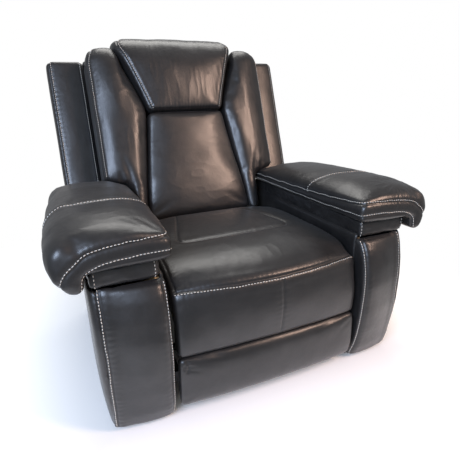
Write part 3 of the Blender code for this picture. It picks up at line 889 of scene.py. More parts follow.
    def wing(self, side: Side) -> Pad:
        """Build one outer wing."""
        sign = side.value
        place = leaning_mirror(side)
        form = swept_form(self.wing_section, (self.wing_low, self.wing_high), "z", (0.012, 0.014), 44, 90,
                          place)
        cover = Cover(f"wing_cover_{side.word}", "back", (f"back_wing_{side.word}",), form)
        seams = []
        for x, row in ((0.3700, -6.5), (0.4865, 6.5)):
            edge = [(x, 0.056, h) for h in (0.262, 0.360, 0.480, 0.600, 0.720, 0.770)]
            edge += [(x, 0.064, 0.787), (x, 0.100, 0.789), (x, 0.145, 0.788)]
            seams.append(Seam(place(np.array(edge)), depth=2.0 * MM, width=3.2 * MM, pucker=0.45 * MM,
                              pitch=18.0 * MM, rows=(sign * row * MM,), soft=12.0 * MM, swell=0.6 * MM))
        folds = [Fold((0.060, 0.080, 0.120), 1.1 * MM, 41 + int(sign)),
                 Fold((0.030, 0.040, 0.050), 0.20 * MM, 44 + int(sign), None, 1.8)]
        return Pad(cover, seams, folds, 0.5)

    def top_roll(self) -> Pad:
        """Build the padded roll that closes the back's top between the wings."""
        def section(x: float) -> list[tuple[float, float]]:
            """Give the roll's outline in d and h."""
            return [(0.066, 0.766), (0.100, 0.765), (0.135, 0.766), (0.139, 0.778), (0.134, 0.793),
                    (0.100, 0.799), (0.070, 0.794), (0.062, 0.780)]
        form = swept_form(section, (-0.361, 0.361), "x", (0.008, 0.008), 40, 60, BACK.place)
        cover = Cover("back_top_cover", "back", ("back_top_roll",), form, 5.0 * MM)
        return Pad(cover, [], [Fold((0.050, 0.050, 0.050), 0.9 * MM, 51)], 0.5, fine=False)

    def rear_cover(self) -> Pad:
        """Build the leather cover over the back's rear frame."""
        def section(h: float) -> list[tuple[float, float]]:
            """Give the cover's outline in X and d."""
            half = 0.289 + 0.072 * float(smooth_step(np.array(h), 0.228, 0.252))
            right = [(0.0, 0.1405), (0.5 * half, 0.1405), (half - 0.006, 0.1407), (half, 0.1475),
                     (half - 0.006, 0.1545), (0.5 * half, 0.1560), (0.0, 0.1565)]
            return right + [(-x, d) for x, d in reversed(right[1:-1])]
        form = swept_form(section, (0.001, 0.785), "z", (0.004, 0.005), 90, 130, BACK.place)
        cover = Cover("rear_cover_leather", "back", ("back_rear_cover",), form, 5.0 * MM, 2)
        seams = [Seam(BACK.place([(x, 0.157, h) for h in np.linspace(0.012, 0.775, 9)]), depth=1.4 * MM,
                      width=4.0 * MM, pucker=0.5 * MM, pitch=24.0 * MM,
                      rows=(5.0 * MM,) if x == 0.0 else ())
                 for x in (-0.250, 0.0, 0.250)]
        hem = [(x, 0.157, 0.030) for x in np.linspace(-0.280, 0.280, 9)]
        seams.append(Seam(BACK.place(hem), depth=1.2 * MM, width=4.0 * MM, pucker=0.4 * MM,
                          rows=(4.0 * MM,)))
        return Pad(cover, seams, [Fold((0.140, 0.100, 0.180), 1.2 * MM, 55)], None, fine=False)

    def pads(self) -> list[Pad]:
        """Build every cover of the back."""
        made = [self.lumbar(), self.top_roll(), self.rear_cover()]
        for side in Side:
            made += [self.bolster(side), self.wing(side)]
        return made


@dataclass
class Headrest:
    """The powered headrest's pad, with side gussets and a stitched front edge."""

    low: float = 0.5365
    high: float = 0.8450
    front: float = -0.0965
    rear: float = 0.0445
    drift: float = -0.009

    def halves(self, h: float) -> tuple[float, float]:
        """Give the half width of the pad's back part and of its front face."""
        rise = h - 0.534
        back = float(np.interp(rise, (0.002, 0.012, 0.080, 0.150, 0.215, 0.255, 0.280, 0.295, 0.302),
                               (0.151, 0.155, 0.177, 0.205, 0.236, 0.250, 0.250, 0.240, 0.226)))
        face = float(np.interp(rise, (0.000, 0.060, 0.140, 0.215, 0.255, 0.280, 0.302),
                               (0.147, 0.163, 0.187, 0.214, 0.230, 0.228, 0.205)))
        return back, face

    def section(self, h: float) -> list[tuple[float, float]]:
        """Give the pad's outline in X and d."""
        back, face = self.halves(h)
        rise = (h - self.low) / (self.high - self.low)
        front = self.front + 0.060 * (max(rise - 0.62,
                                          0.0) / 0.38) ** 2.4 - 0.007 * math.sin(math.pi * rise)
        right = [(back - 0.016, self.rear), (back, self.rear - 0.014), (back + 0.001,
                                                                        max(0.004, front + 0.048)),
                 (back - 0.002, max(-0.024, front + 0.036)),
                 (0.5 * (back + face) + 0.004, max(-0.060, front + 0.025)),
                 (face + 0.002, front + 0.014), (face - 0.016, front + 0.003),
                 (face * 0.6, front - 0.001), (0.0, front - 0.002)]
        drift = self.drift * rise
        return [(x + drift, d) for x, d in right] + [(drift - x, d) for x, d in reversed(right[:-1])]

    def pads(self) -> list[Pad]:
        """Build the headrest's cover."""
        form = swept_form(self.section, (self.low, self.high), "z", (0.010, 0.024), 60, 120, BACK.place)
        cover = Cover("headrest_cover", "headrest", ("headrest_pad",), form)
        seams = []
        for side in Side:
            edge = [(side.value * (self.halves(h)[1] - 0.004) + self.drift * (h - 0.536) / 0.300,
                     self.front + 0.006 + 0.060 * max((h - 0.722) / 0.114, 0.0) ** 2.4, h)
                    for h in (0.542, 0.580, 0.640, 0.700, 0.750, 0.785)]
            edge += [(side.value * 0.219 + self.drift, self.front + 0.046, 0.815),
                     (side.value * 0.206 + self.drift, -0.010, 0.843), (side.value * 0.202 + self.drift,
                                                                        0.020, 0.845)]
            seams.append(Seam(BACK.place(edge), depth=2.6 * MM, width=3.6 * MM, pucker=0.6 * MM,
                              pitch=15.0 * MM,
                              rows=(side.value * 6.0 * MM,), soft=13.0 * MM, swell=1.0 * MM))
        bottom = [(x, self.front + 0.006, 0.541) for x in np.linspace(-0.138, 0.138, 7)]
        seams.append(Seam(BACK.place(bottom), depth=1.6 * MM, width=3.2 * MM, pucker=0.5 * MM))

        def held(points: Array) -> Array:
            """Hold the seams and the rear face."""
            depth = BACK.depth(points)
            corner = smooth_step(np.abs(points[:, 0]), 0.180,
                                 0.200) * smooth_step(points[:, 2], 0.990, 1.020)
            return np.maximum.reduce([smooth_step(depth, -0.020, 0.012),
                                      near_seams(seams, 11.0 * MM)(points), corner])

        folds = [Fold((0.055, 0.080, 0.120), 1.2 * MM, 61), Fold((0.020, 0.040, 0.080), 0.35 * MM, 62,
                                                                 None, 2.0)]
        return [Pad(cover, seams, folds, 0.75, 13.0 * MM, 4.0, held)]


# The arms -----------------------------------------------------------------------------------------


@dataclass
class Arm:
    """One arm's covers: the pillow pad, the collar below it, the front panel and the casings."""

    side: Side
    pad_stations: tuple[float, ...] = (-0.517, -0.507, -0.472, -0.387, -0.257, -0.100, 0.080, 0.200, 0.233,
                                       0.245)
    pad_swell: tuple[float, ...] = (0.66, 0.78, 0.90, 0.97, 1.0, 1.0, 0.94, 0.82, 0.70, 0.55)
    pad_crown: tuple[float, ...] = (0.60, 0.76, 0.90, 1.0, 0.98, 0.90, 0.71, 0.36, 0.24, 0.16)

    def place(self, points: Array) -> Array:
        """Mirror points drawn for the right arm to this arm's side."""
        return np.asarray(points, float) * np.array((self.side.value, 1.0, 1.0))

    def pad_section(self, y: float) -> list[tuple[float, float]]:
        """Give the pillow pad's outline in X and Z."""
        swell = float(np.interp(y, self.pad_stations, self.pad_swell))
        crown = float(np.interp(y, self.pad_stations, self.pad_crown))
        inner, lip, under, lip_low = 0.281, 0.4870, 0.4950, 0.4500
        outer = lip + (0.563 - 0.008 * self.side.value - lip) * swell
        top = under + 0.104 * crown
        mid = 0.5 * (under + top)
        lip_outer = lip + 0.020 + 0.014 * swell
        return [(inner + 0.010, under + 0.003), (0.340, under), (0.420, under),
                (lip - 0.008, under - 0.001),
                (lip, under - 0.012), (lip + 0.001, lip_low + 0.008), (lip + 0.008, lip_low),
                (lip_outer, lip_low),
                (outer - 0.007, mid - 0.050), (outer, mid - 0.018), (outer - 0.004, mid + 0.008),
                (outer - 0.022, mid + 0.030), (outer - 0.055, top - 0.007), (outer - 0.100, top),
                (inner + 0.085, top - 0.001), (inner + 0.042, top - 0.010), (inner + 0.012, mid + 0.024),
                (inner, mid + 0.002), (inner + 0.001, under + 0.014)]

    def pad_seams(self) -> list[Seam]:
        """List the seams of the pillow pad."""
        sign = self.side.value
        upper = [(0.281, 0.235, 0.518), (0.281, 0.100, 0.524), (0.281, -0.100, 0.530),
                 (0.281, -0.300, 0.538),
                 (0.281, -0.430, 0.547), (0.284, -0.485, 0.553), (0.300, -0.510, 0.558),
                 (0.354, -0.516, 0.556),
                 (0.406, -0.516, 0.552), (0.450, -0.515, 0.546), (0.478, -0.512, 0.538),
                 (0.502, -0.506, 0.520),
                 (0.523, -0.500, 0.498), (0.529, -0.494, 0.462)]
        lower = [(0.281, 0.235, 0.500), (0.281, 0.100, 0.503), (0.281, -0.100, 0.506),
                 (0.281, -0.300, 0.509),
                 (0.282, -0.430, 0.514), (0.286, -0.490, 0.518), (0.304, -0.514, 0.520),
                 (0.345, -0.518, 0.519),
                 (0.400, -0.518, 0.516), (0.440, -0.517, 0.511), (0.463, -0.515, 0.502),
                 (0.479, -0.512, 0.487),
                 (0.486, -0.508, 0.456)]
        across = [(0.283, -0.235, 0.535), (0.290, -0.246, 0.560), (0.320, -0.262, 0.590),
                  (0.370, -0.274, 0.602),
                  (0.430, -0.281, 0.602), (0.490, -0.284, 0.590), (0.540, -0.284, 0.565),
                  (0.560, -0.282, 0.530),
                  (0.552, -0.280, 0.495), (0.530, -0.278, 0.460)]
        return [Seam(self.place(upper), depth=2.8 * MM, width=3.6 * MM, pucker=0.35 * MM, pitch=12.0 * MM,
                     rows=(sign * 5.5 * MM,), soft=16.0 * MM, swell=1.4 * MM),
                Seam(self.place(lower), depth=2.6 * MM, width=3.4 * MM, pucker=0.25 * MM, pitch=13.0 * MM,
                     rows=(sign * 5.0 * MM,), soft=10.0 * MM, swell=0.8 * MM),
                Seam(self.place(across), depth=2.4 * MM, width=3.4 * MM, pucker=0.35 * MM, pitch=14.0 * MM,
                     rows=(sign * 6.0 * MM,), soft=18.0 * MM, swell=1.2 * MM)]

    def gathers(self, points: Array) -> Array:
        """Say where the pad's front outer corner is gathered."""
        chart = self.corner_chart(points)
        near = smooth_step(chart[:, 1], 0.030, 0.045) * (1.0 - smooth_step(chart[:, 1], 0.060, 0.095))
        return near * smooth_step(points[:, 2], 0.515, 0.540)

    def corner_chart(self, points: Array) -> Array:
        """Give places as turn and distance about the gathered corner's centre."""
        x = points[:, 0] * self.side.value - 0.455
        y = points[:, 1] + 0.455
        turn = np.arctan2(y, x)
        return np.stack([turn * 0.060, np.hypot(x, y), np.zeros_like(x)], axis=1)

    def pad(self) -> Pad:
        """Build the pillow pad."""
        form = swept_form(self.pad_section, (-0.515, 0.243), "y", (0.012, 0.012), 70, 110, self.place)
        cover = Cover(f"arm_pad_cover_{self.side.word}", "base", (f"arm_pad_{self.side.word}",), form)
        seams = self.pad_seams()

        def held(points: Array) -> Array:
            """Hold the seams, the lip and the face that rests on the collar."""
            under = (1.0 - smooth_step(points[:, 2], 0.497, 0.506)) * (1.0 - smooth_step(
                points[:, 0] * self.side.value, 0.500, 0.515))
            return np.maximum(under, near_seams(seams, 10.0 * MM)(points))

        seed = 70 + int(self.side.value)
        folds = [Fold((0.080, 0.080, 0.060), 1.5 * MM, seed),
                 Fold((0.060, 0.030, 0.050), 0.30 * MM, seed + 3, None, 2.0),
                 Fold((0.010, 0.090, 1.0), (0.6 + 0.5 * self.side.value) * MM, seed + 6, self.gathers, 1.6,
                      self.corner_chart)]
        return Pad(cover, seams, folds, 0.8, 12.0 * MM, 4.0, held)

    def collar(self) -> Pad:
        """Build the padded collar between the pillow pad and the arm's body."""
        def section(y: float) -> list[tuple[float, float]]:
            """Give the collar's outline in X and Z."""
            return [(0.316, 0.4415), (0.400, 0.4412), (0.472, 0.4415), (0.478, 0.452), (0.479, 0.467),
                    (0.478, 0.483), (0.472, 0.4918), (0.400, 0.4922), (0.316, 0.4918), (0.3115, 0.483),
                    (0.3108, 0.467), (0.3115, 0.452)]
        form = swept_form(section, (-0.484, 0.238), "y", (0.010, 0.010), 60, 90, self.place)
        cover = Cover(f"arm_collar_{self.side.word}", "base", (f"arm_neck_{self.side.word}",), form,
                      6.0 * MM)
        seams = []
        for x in (0.318, 0.470):
            edge = [(x, -0.483, z) for z in (0.444, 0.456, 0.468, 0.480, 0.490)]
            seams.append(Seam(self.place(edge), depth=1.4 * MM, width=3.0 * MM, pucker=0.4 * MM,
                              rows=(4.0 * MM,) if x < 0.4 else (-4.0 * MM,)))
        folds = [Fold((0.034, 0.030, 0.016), 1.7 * MM, 81 + int(self.side.value), None, 1.6)]
        return Pad(cover, seams, folds, 0.4, fine=False)

    @staticmethod
    def front_lines(z: float) -> tuple[float, float]:
        """Give the Y of the front panel's inner and outer edges at a height."""
        heights = (0.010, 0.060, 0.130, 0.200, 0.290, 0.350, 0.400, 0.430, 0.442)
        inner = np.interp(z, heights, (-0.487, -0.508, -0.523, -0.531, -0.533, -0.527, -0.514, -0.498,
                                       -0.484))
        outer = np.interp(z, heights, (-0.478, -0.492, -0.502, -0.507, -0.506, -0.502, -0.493, -0.482,
                                       -0.474))
        return float(inner), float(outer)

    def front_panel(self) -> Pad:
        """Build the bowed and padded front panel."""
        def section(z: float) -> list[tuple[float, float]]:
            """Give the panel's outline in X and Y."""
            inner, outer = self.front_lines(z)
            rear = -0.4695
            return [(0.3035, rear), (0.3800, rear), (0.4670, rear), (0.4695, rear - 0.25 * (rear - outer)),
                    (0.4690, rear - 0.7 * (rear - outer)), (0.4635, outer), (0.4400, outer - 0.006),
                    (0.3900, 0.5 * (inner + outer) - 0.009), (0.3400, inner - 0.006),
                    (0.3120, inner - 0.002),
                    (0.3030, inner + 0.008), (0.3020, rear - 0.4 * (rear - inner))]
        form = swept_form(section, (0.0120, 0.4390), "z", (0.003, 0.012), 60, 90, self.place)
        name = f"arm_front_cover_{self.side.word}"
        cover = Cover(name, "base", (f"arm_front_panel_{self.side.word}",), form, 6.0 * MM)
        sign = self.side.value
        heights = (0.018, 0.080, 0.150, 0.220, 0.290, 0.350, 0.395, 0.425, 0.436)
        inner = [(0.3085, self.front_lines(z)[0] - 0.002, z) for z in heights]
        outer = [(0.4590, self.front_lines(z)[1] - 0.002, z) for z in heights]
        seams = [Seam(self.place(inner), depth=1.8 * MM, width=3.0 * MM, pucker=0.4 * MM, pitch=18.0 * MM,
                      rows=(sign * 5.0 * MM,), soft=14.0 * MM, swell=0.8 * MM),
                 Seam(self.place(outer), depth=1.8 * MM, width=3.0 * MM, pucker=0.5 * MM, pitch=16.0 * MM,
                      rows=(-sign * 5.0 * MM,), soft=14.0 * MM, swell=0.8 * MM)]
        folds = [Fold((0.060, 0.060, 0.080), 1.2 * MM, 91 + int(sign)),
                 Fold((0.026, 0.030, 0.040), 0.35 * MM, 94 + int(sign))]
        return Pad(cover, seams, folds, 0.5)

    def outer_casing(self) -> Pad:
        """Build the leather casing that wraps the arm's outer side and rear."""
        def section(z: float) -> list[tuple[float, float]]:
            """Give the casing's outline in X and Y."""
            front = self.front_lines(z)[1]
            taper = 0.014 * max(1.0 - z / 0.200, 0.0) ** 1.5
            out = 0.4895 - taper
            rear = 0.2445
            return [(0.4640, front + 0.003), (out - 0.013, front + 0.007), (out - 0.004, front + 0.024),
                    (out, front + 0.075), (out + 0.001, -0.250), (out + 0.002, -0.100),
                    (out + 0.001, 0.080),
                    (out, 0.200), (out - 0.002, rear - 0.014), (out - 0.014, rear - 0.001),
                    (0.430, rear + 0.001),
                    (0.370, rear + 0.001), (0.318, rear), (0.3120, rear - 0.004), (0.3130, rear - 0.012),
                    (0.370, rear - 0.013), (0.430, rear - 0.013), (out - 0.026, rear - 0.014),
                    (out - 0.0135, rear - 0.026), (out - 0.012, 0.080), (out - 0.011, -0.100),
                    (out - 0.012, -0.250), (out - 0.013, -0.420), (out - 0.016, -0.462), (0.4640, -0.468)]
        form = swept_form(section, (0.0130, 0.4385), "z", (0.003, 0.006), 70, 260, self.place)
        name = f"arm_outer_casing_{self.side.word}"
        cover = Cover(name, "base", (f"arm_outer_panel_{self.side.word}",), form, 5.0 * MM, 2)
        rear_edge = [(0.4790, 0.2440, z) for z in (0.040, 0.140, 0.240, 0.340, 0.434)]
        seams = [Seam(self.place(rear_edge), depth=1.2 * MM, width=3.5 * MM, pucker=0.4 * MM,
                      rows=(self.side.value * 5.0 * MM,))]
        folds = [Fold((0.160, 0.160, 0.140), 1.4 * MM, 101 + int(self.side.value))]
        return Pad(cover, seams, folds, None, fine=False)

    def inner_casing(self) -> Pad:
        """Build the leather panel on the arm's inner side."""
        def section(y: float) -> list[tuple[float, float]]:
            """Give the panel's outline in X and Z."""
            return [(0.3035, 0.0130), (0.3115, 0.0140), (0.3120, 0.150), (0.3120, 0.300), (0.3120, 0.4425),
                    (0.3045, 0.4430), (0.3004, 0.4340), (0.3000, 0.300), (0.3000, 0.150), (0.3004, 0.0200)]
        form = swept_form(section, (-0.4740, 0.2460), "y", (0.003, 0.003), 90, 130, self.place)
        name = f"arm_inner_casing_{self.side.word}"
        cover = Cover(name, "base", (f"arm_inner_panel_{self.side.word}",), form, 5.0 * MM, 1)
        folds = [Fold((0.120, 0.120, 0.110), 0.5 * MM, 111 + int(self.side.value))]
        return Pad(cover, [], folds, None, fine=False)

    def pads(self) -> list[Pad]:
        """Build every cover of the arm."""
        return [self.pad(), self.collar(), self.front_panel(), self.outer_casing(), self.inner_casing()]


# The footrest -------------------------------------------------------------------------------------


@dataclass
class Footrest:
    """The footrest's padded front panel."""

    half: float = 0.2900

    def section(self, x: float) -> list[tuple[float, float]]:
        """Give the panel's side outline in Y and Z."""
        low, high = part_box("footrest_pad")
        back = 0.012 * (abs(x) / self.half) ** 2.5
        front = low.y + 0.002 + back
        rear = high.y - 0.0005
        return [(rear, low.z + 0.012), (rear, 0.080), (rear, 0.130), (rear, high.z - 0.010),
                (rear - 0.006, high.z + 0.001), (front + 0.012, high.z + 0.002),
                (front + 0.003, high.z - 0.004),
                (front - 0.001, high.z - 0.030),
                (front - 0.002, 0.115), (front + 0.001, 0.075), (front + 0.008, low.z + 0.012),
                (front + 0.022, low.z + 0.001), (rear - 0.006, low.z + 0.001)]

    def pads(self) -> list[Pad]:
        """Build the footrest's cover."""
        form = swept_form(self.section, (-self.half, self.half), "x", (0.011, 0.011), 50, 90)
        cover = Cover("footrest_cover", "footrest", ("footrest_pad",), form, 6.0 * MM)
        notch = [(-0.268, -0.520, 0.196), (-0.264, -0.522, 0.180), (-0.268, -0.520, 0.164)]
        seams = [Seam(notch, depth=2.0 * MM, width=3.0 * MM, pucker=0.8 * MM, pitch=9.0 * MM)]

        def held(points: Array) -> Array:
            """Hold the rear face and the rims."""
            return np.maximum(smooth_step(points[:, 1], -0.505, -0.492),
                              smooth_step(np.abs(points[:, 0]), 0.279, 0.288))

        folds = [Fold((0.120, 0.080, 0.050), 1.2 * MM, 121), Fold((0.030, 0.040, 0.030), 0.4 * MM, 122)]
        return [Pad(cover, seams, folds, 0.6, 8.0 * MM, 4.0, held)]


# Finishes -----------------------------------------------------------------------------------------


def linear(hex_colour: str) -> tuple[float, float, float, float]:
    """Turn an sRGB hex colour into linear RGBA."""
    parts = [int(hex_colour[index:index + 2], 16) / 255.0 for index in (1, 3, 5)]
    curve = [part / 12.92 if part <= 0.04045 else ((part + 0.055) / 1.055) ** 2.4 for part in parts]
    return curve[0], curve[1], curve[2], 1.0


def feed(tree: bpy.types.NodeTree, node: bpy.types.Node, inputs: dict) -> None:
    """Link sockets to a node's inputs, and set plain values on the inputs themselves."""
    for key, value in inputs.items():
        if isinstance(value, bpy.types.NodeSocket):
            tree.links.new(value, node.inputs[key])
        else:
            node.inputs[key].default_value = value


def add(tree: bpy.types.NodeTree, kind: str, inputs: dict | None = None,
        **settings: object) -> bpy.types.Node:
    """Add a node with its settings and links.

    Args:
        tree: The tree it goes in.
        kind: Blender's name of the node type.
        inputs: A value or a linked socket for each input, by name or number.
        settings: The node's own settings.

    Returns:
        The node.
    """
    node = tree.nodes.new(kind)
    for key, value in settings.items():
        setattr(node, key, value)
    feed(tree, node, inputs or {})
    return node


def per_metre(millimetres: float) -> float:
    """Give the texture scale at which one cell is a size in millimetres."""
    return 1.0 / (millimetres * MM)


STRETCH = {"From Min": 0.25, "From Max": 0.75}
COLOUR = {"data_type": "RGBA"}


class Finish:
    """A finish that makes its material once."""

    name = "finish"

    def __init__(self) -> None:
        """Start with no material made."""
        self.made: bpy.types.Material | None = None

    def material(self) -> bpy.types.Material:
        """Give the finish's material, building it the first time."""
        if self.made is None:
            self.made = bpy.data.materials.new(self.name)
            self.made.use_nodes = True
            tree = self.made.node_tree
            tree.nodes.clear()
            shader = add(tree, "ShaderNodeBsdfPrincipled")
            add(tree, "ShaderNodeOutputMaterial", {"Surface": shader.outputs[0]})
            place = add(tree, "ShaderNodeTexCoord").outputs["Object"]
            self.build(tree, shader, place)
        return self.made

    def build(self, tree: bpy.types.NodeTree, shader: bpy.types.Node, place: bpy.types.NodeSocket) -> None:
        """Wire the finish into its shader; each finish has its own way."""
        raise NotImplementedError


class BondedLeather(Finish):
    """Bonded leather with an embossed and pigmented polyurethane skin.

    It looks near black, with a soft broad shine, small pebbles and a duller line along each seam that is
    darkened with painted shade.
    """

    name = "bonded_leather_embossed"
    deep = "#151516"
    pale = "#252424"
    # The seam colour is painted shade: the leather darkens towards it along each seam's groove.
    seam = "#080808"
    # The pebbles and pores are drawn coarser than the real emboss, which is too fine to show.
    pebble_mm = 1.7
    pore_mm = 0.5
    hand_mm = 11.0
    mottle_mm = 55.0

    def build(self, tree: bpy.types.NodeTree, shader: bpy.types.Node, place: bpy.types.NodeSocket) -> None:
        """Wire the skin's colour with painted shade along the seams, shine and grain."""
        mottle = add(tree, "ShaderNodeTexNoise", {"Vector": place, "Scale": per_metre(self.mottle_mm),
                                                  "Detail": 4.0, "Roughness": 0.55}).outputs[0]
        hand = add(tree, "ShaderNodeTexNoise", {"Vector": place, "Scale": per_metre(self.hand_mm),
                                                "Detail": 3.0, "Roughness": 0.5}).outputs[0]
        pore = add(tree, "ShaderNodeTexNoise", {"Vector": place, "Scale": per_metre(self.pore_mm),
                                                "Detail": 2.0}).outputs[0]
        pebble = add(tree, "ShaderNodeTexVoronoi", {"Vector": place, "Scale": per_metre(self.pebble_mm),
                                                    "Randomness": 0.9}, feature="SMOOTH_F1").outputs[0]
        seam = add(tree, "ShaderNodeAttribute", attribute_name="seam").outputs["Fac"]
        share = add(tree, "ShaderNodeMapRange", {"Value": mottle, **STRETCH}).outputs[0]
        skin = add(tree, "ShaderNodeMix", {0: share, 6: linear(self.deep), 7: linear(self.pale)},
                   **COLOUR).outputs[2]
        # Painted shade: along each seam the skin is mixed three quarters of the way towards the near-black
        # seam colour.
        seam_shade_share = add(tree, "ShaderNodeMath", {0: seam, 1: 0.75}, operation="MULTIPLY").outputs[0]
        skin_and_seam_shade = add(tree, "ShaderNodeMix", {0: seam_shade_share, 6: skin, 7: linear(self.seam)}, **COLOUR).outputs[2]
        shine = add(tree, "ShaderNodeMapRange", {"Value": hand, **STRETCH, "To Min": 0.34,
                                                 "To Max": 0.43}).outputs[0]
        dull = add(tree, "ShaderNodeMath", {0: seam, 1: 0.25, 2: shine},
                   operation="MULTIPLY_ADD").outputs[0]
        soft = add(tree, "ShaderNodeBump", {"Height": hand, "Strength": 0.30, "Distance": 0.9 * MM})
        grain = add(tree, "ShaderNodeBump", {"Height": pebble, "Strength": 0.35, "Distance": 0.25 * MM,
                                             "Normal": soft.outputs[0]}, invert=True)
        fine = add(tree, "ShaderNodeBump", {"Height": pore, "Strength": 0.25, "Distance": 0.06 * MM,
                                            "Normal": grain.outputs[0]})
        feed(tree, shader, {"Base Color": skin_and_seam_shade, "Roughness": dull, "Normal": fine.outputs[0], "IOR": 1.5,
                            "Specular IOR Level": 0.55, "Coat Weight": 0.28, "Coat Roughness": 0.25,
                            "Sheen Weight": 0.04, "Sheen Roughness": 0.4})


class PolyesterThread(Finish):
    """Bonded polyester thread, twisted from three plies; pale, with a slight lustre."""

    name = "bonded_polyester_thread"
    light = "#EEE9E0"
    shade = "#B3ADA3"

    def build(self, tree: bpy.types.NodeTree, shader: bpy.types.Node, place: bpy.types.NodeSocket) -> None:
        """Wire the plies' light and shade."""
        ply = add(tree, "ShaderNodeTexNoise", {"Vector": place, "Scale": per_metre(0.8),
                                               "Detail": 2.0}).outputs[0]
        share = add(tree, "ShaderNodeMapRange", {"Value": ply, **STRETCH}).outputs[0]
        yarn = add(tree, "ShaderNodeMix", {0: share, 6: linear(self.light), 7: linear(self.shade)},
                   **COLOUR).outputs[2]
        bump = add(tree, "ShaderNodeBump", {"Height": ply, "Strength": 0.4, "Distance": 0.15 * MM})
        feed(tree, shader, {"Base Color": yarn, "Normal": bump.outputs[0], "Roughness": 0.55,
                            "Sheen Weight": 0.2})


class Plywood(Finish):
    """Sawn poplar plywood; matt and pale brown, with long grain and darker glue lines."""

    name = "poplar_plywood_sawn"
    early = "#CDAF82"
    late = "#A07C4E"
    glue = "#6E5131"
    grain_mm = 3.5
    # One ply; the wave's bands come out about six times as wide, coarse enough to show.
    ply_mm = 2.4
    WAVE_SHARE = 20.0

    def build(self, tree: bpy.types.NodeTree, shader: bpy.types.Node, place: bpy.types.NodeSocket) -> None:
        """Wire the grain along X and the plies across the boards."""
        run = add(tree, "ShaderNodeMapping", {"Vector": place, "Scale": (0.06, 1.0, 1.0)}).outputs[0]
        grain = add(tree, "ShaderNodeTexNoise", {"Vector": run, "Scale": per_metre(self.grain_mm),
                                                 "Detail": 5.0,
                                                 "Roughness": 0.6}).outputs[0]
        ply = add(tree, "ShaderNodeTexWave", {"Vector": place,
                                              "Scale": per_metre(self.ply_mm) / self.WAVE_SHARE,
                                              "Distortion": 1.5, "Detail": 1.0},
                                              bands_direction="Y").outputs[1]
        share = add(tree, "ShaderNodeMapRange", {"Value": grain, **STRETCH}).outputs[0]
        wood = add(tree, "ShaderNodeMix", {0: share, 6: linear(self.early), 7: linear(self.late)},
                   **COLOUR).outputs[2]
        lines = add(tree, "ShaderNodeMath", {0: ply, 1: 0.25}, operation="MULTIPLY").outputs[0]
        sawn = add(tree, "ShaderNodeMix", {0: lines, 6: wood, 7: linear(self.glue)}, **COLOUR).outputs[2]
        bump = add(tree, "ShaderNodeBump", {"Height": grain, "Strength": 0.5, "Distance": 0.2 * MM})
        rough = add(tree, "ShaderNodeMapRange", {"Value": grain, **STRETCH, "To Min": 0.55,
                                                 "To Max": 0.75}).outputs[0]
        feed(tree, shader, {"Base Color": sawn, "Normal": bump.outputs[0], "Roughness": rough})


@dataclass(frozen=True)
class MetalLook:
    """What tells one metal finish from another.

    Attributes:
        name: The metal and how its surface was made.
        low: Colour in its darker parts.
        high: Colour in its lighter parts.
        metallic: 1 for bare metal, 0 for a coat of paint.
        rough: Lowest and highest roughness.
        cell_mm: Size of its texture, orange peel or spangle.
        lift_mm: Height of that texture.
    """

    name: str
    low: str
    high: str
    metallic: float
    rough: tuple[float, float]
    cell_mm: float
    lift_mm: float


class MetalFinish(Finish):
    """A coated or plated metal."""

    def __init__(self, look: MetalLook) -> None:
        """Take the metal's look."""
        super().__init__()
        self.look = look
        self.name = look.name

    def build(self, tree: bpy.types.NodeTree, shader: bpy.types.Node, place: bpy.types.NodeSocket) -> None:
        """Wire the spangle or orange peel, with handling marks over it."""
        look = self.look
        peel = add(tree, "ShaderNodeTexNoise", {"Vector": place, "Scale": per_metre(look.cell_mm),
                                                "Detail": 2.0}).outputs[0]
        marks = add(tree, "ShaderNodeTexNoise", {"Vector": place, "Scale": per_metre(35.0), "Detail": 6.0,
                                                 "Roughness": 0.65}).outputs[0]
        both = add(tree, "ShaderNodeMath", {0: peel, 1: marks}, operation="ADD").outputs[0]
        half = add(tree, "ShaderNodeMath", {0: both, 1: 0.5}, operation="MULTIPLY").outputs[0]
        share = add(tree, "ShaderNodeMapRange", {"Value": half, **STRETCH}).outputs[0]
        coat = add(tree, "ShaderNodeMix", {0: share, 6: linear(look.low), 7: linear(look.high)},
                   **COLOUR).outputs[2]
        rough = add(tree, "ShaderNodeMapRange", {"Value": marks, **STRETCH, "To Min": look.rough[0],
                                                 "To Max": look.rough[1]}).outputs[0]
        bump = add(tree, "ShaderNodeBump", {"Height": peel, "Strength": 0.5, "Distance": look.lift_mm * MM})
        feed(tree, shader, {"Base Color": coat, "Roughness": rough, "Normal": bump.outputs[0],
                            "Metallic": look.metallic})


@dataclass(frozen=True)
class PlasticLook:
    """What tells one moulded plastic from another.

    Attributes:
        name: The plastic and how it was made.
        tone: Its colour.
        worn: Its colour where it is handled.
        rough: Lowest and highest roughness.
        spark_mm: Size of the spark-eroded texture of its mould.
    """

    name: str
    tone: str
    worn: str
    rough: tuple[float, float]
    spark_mm: float


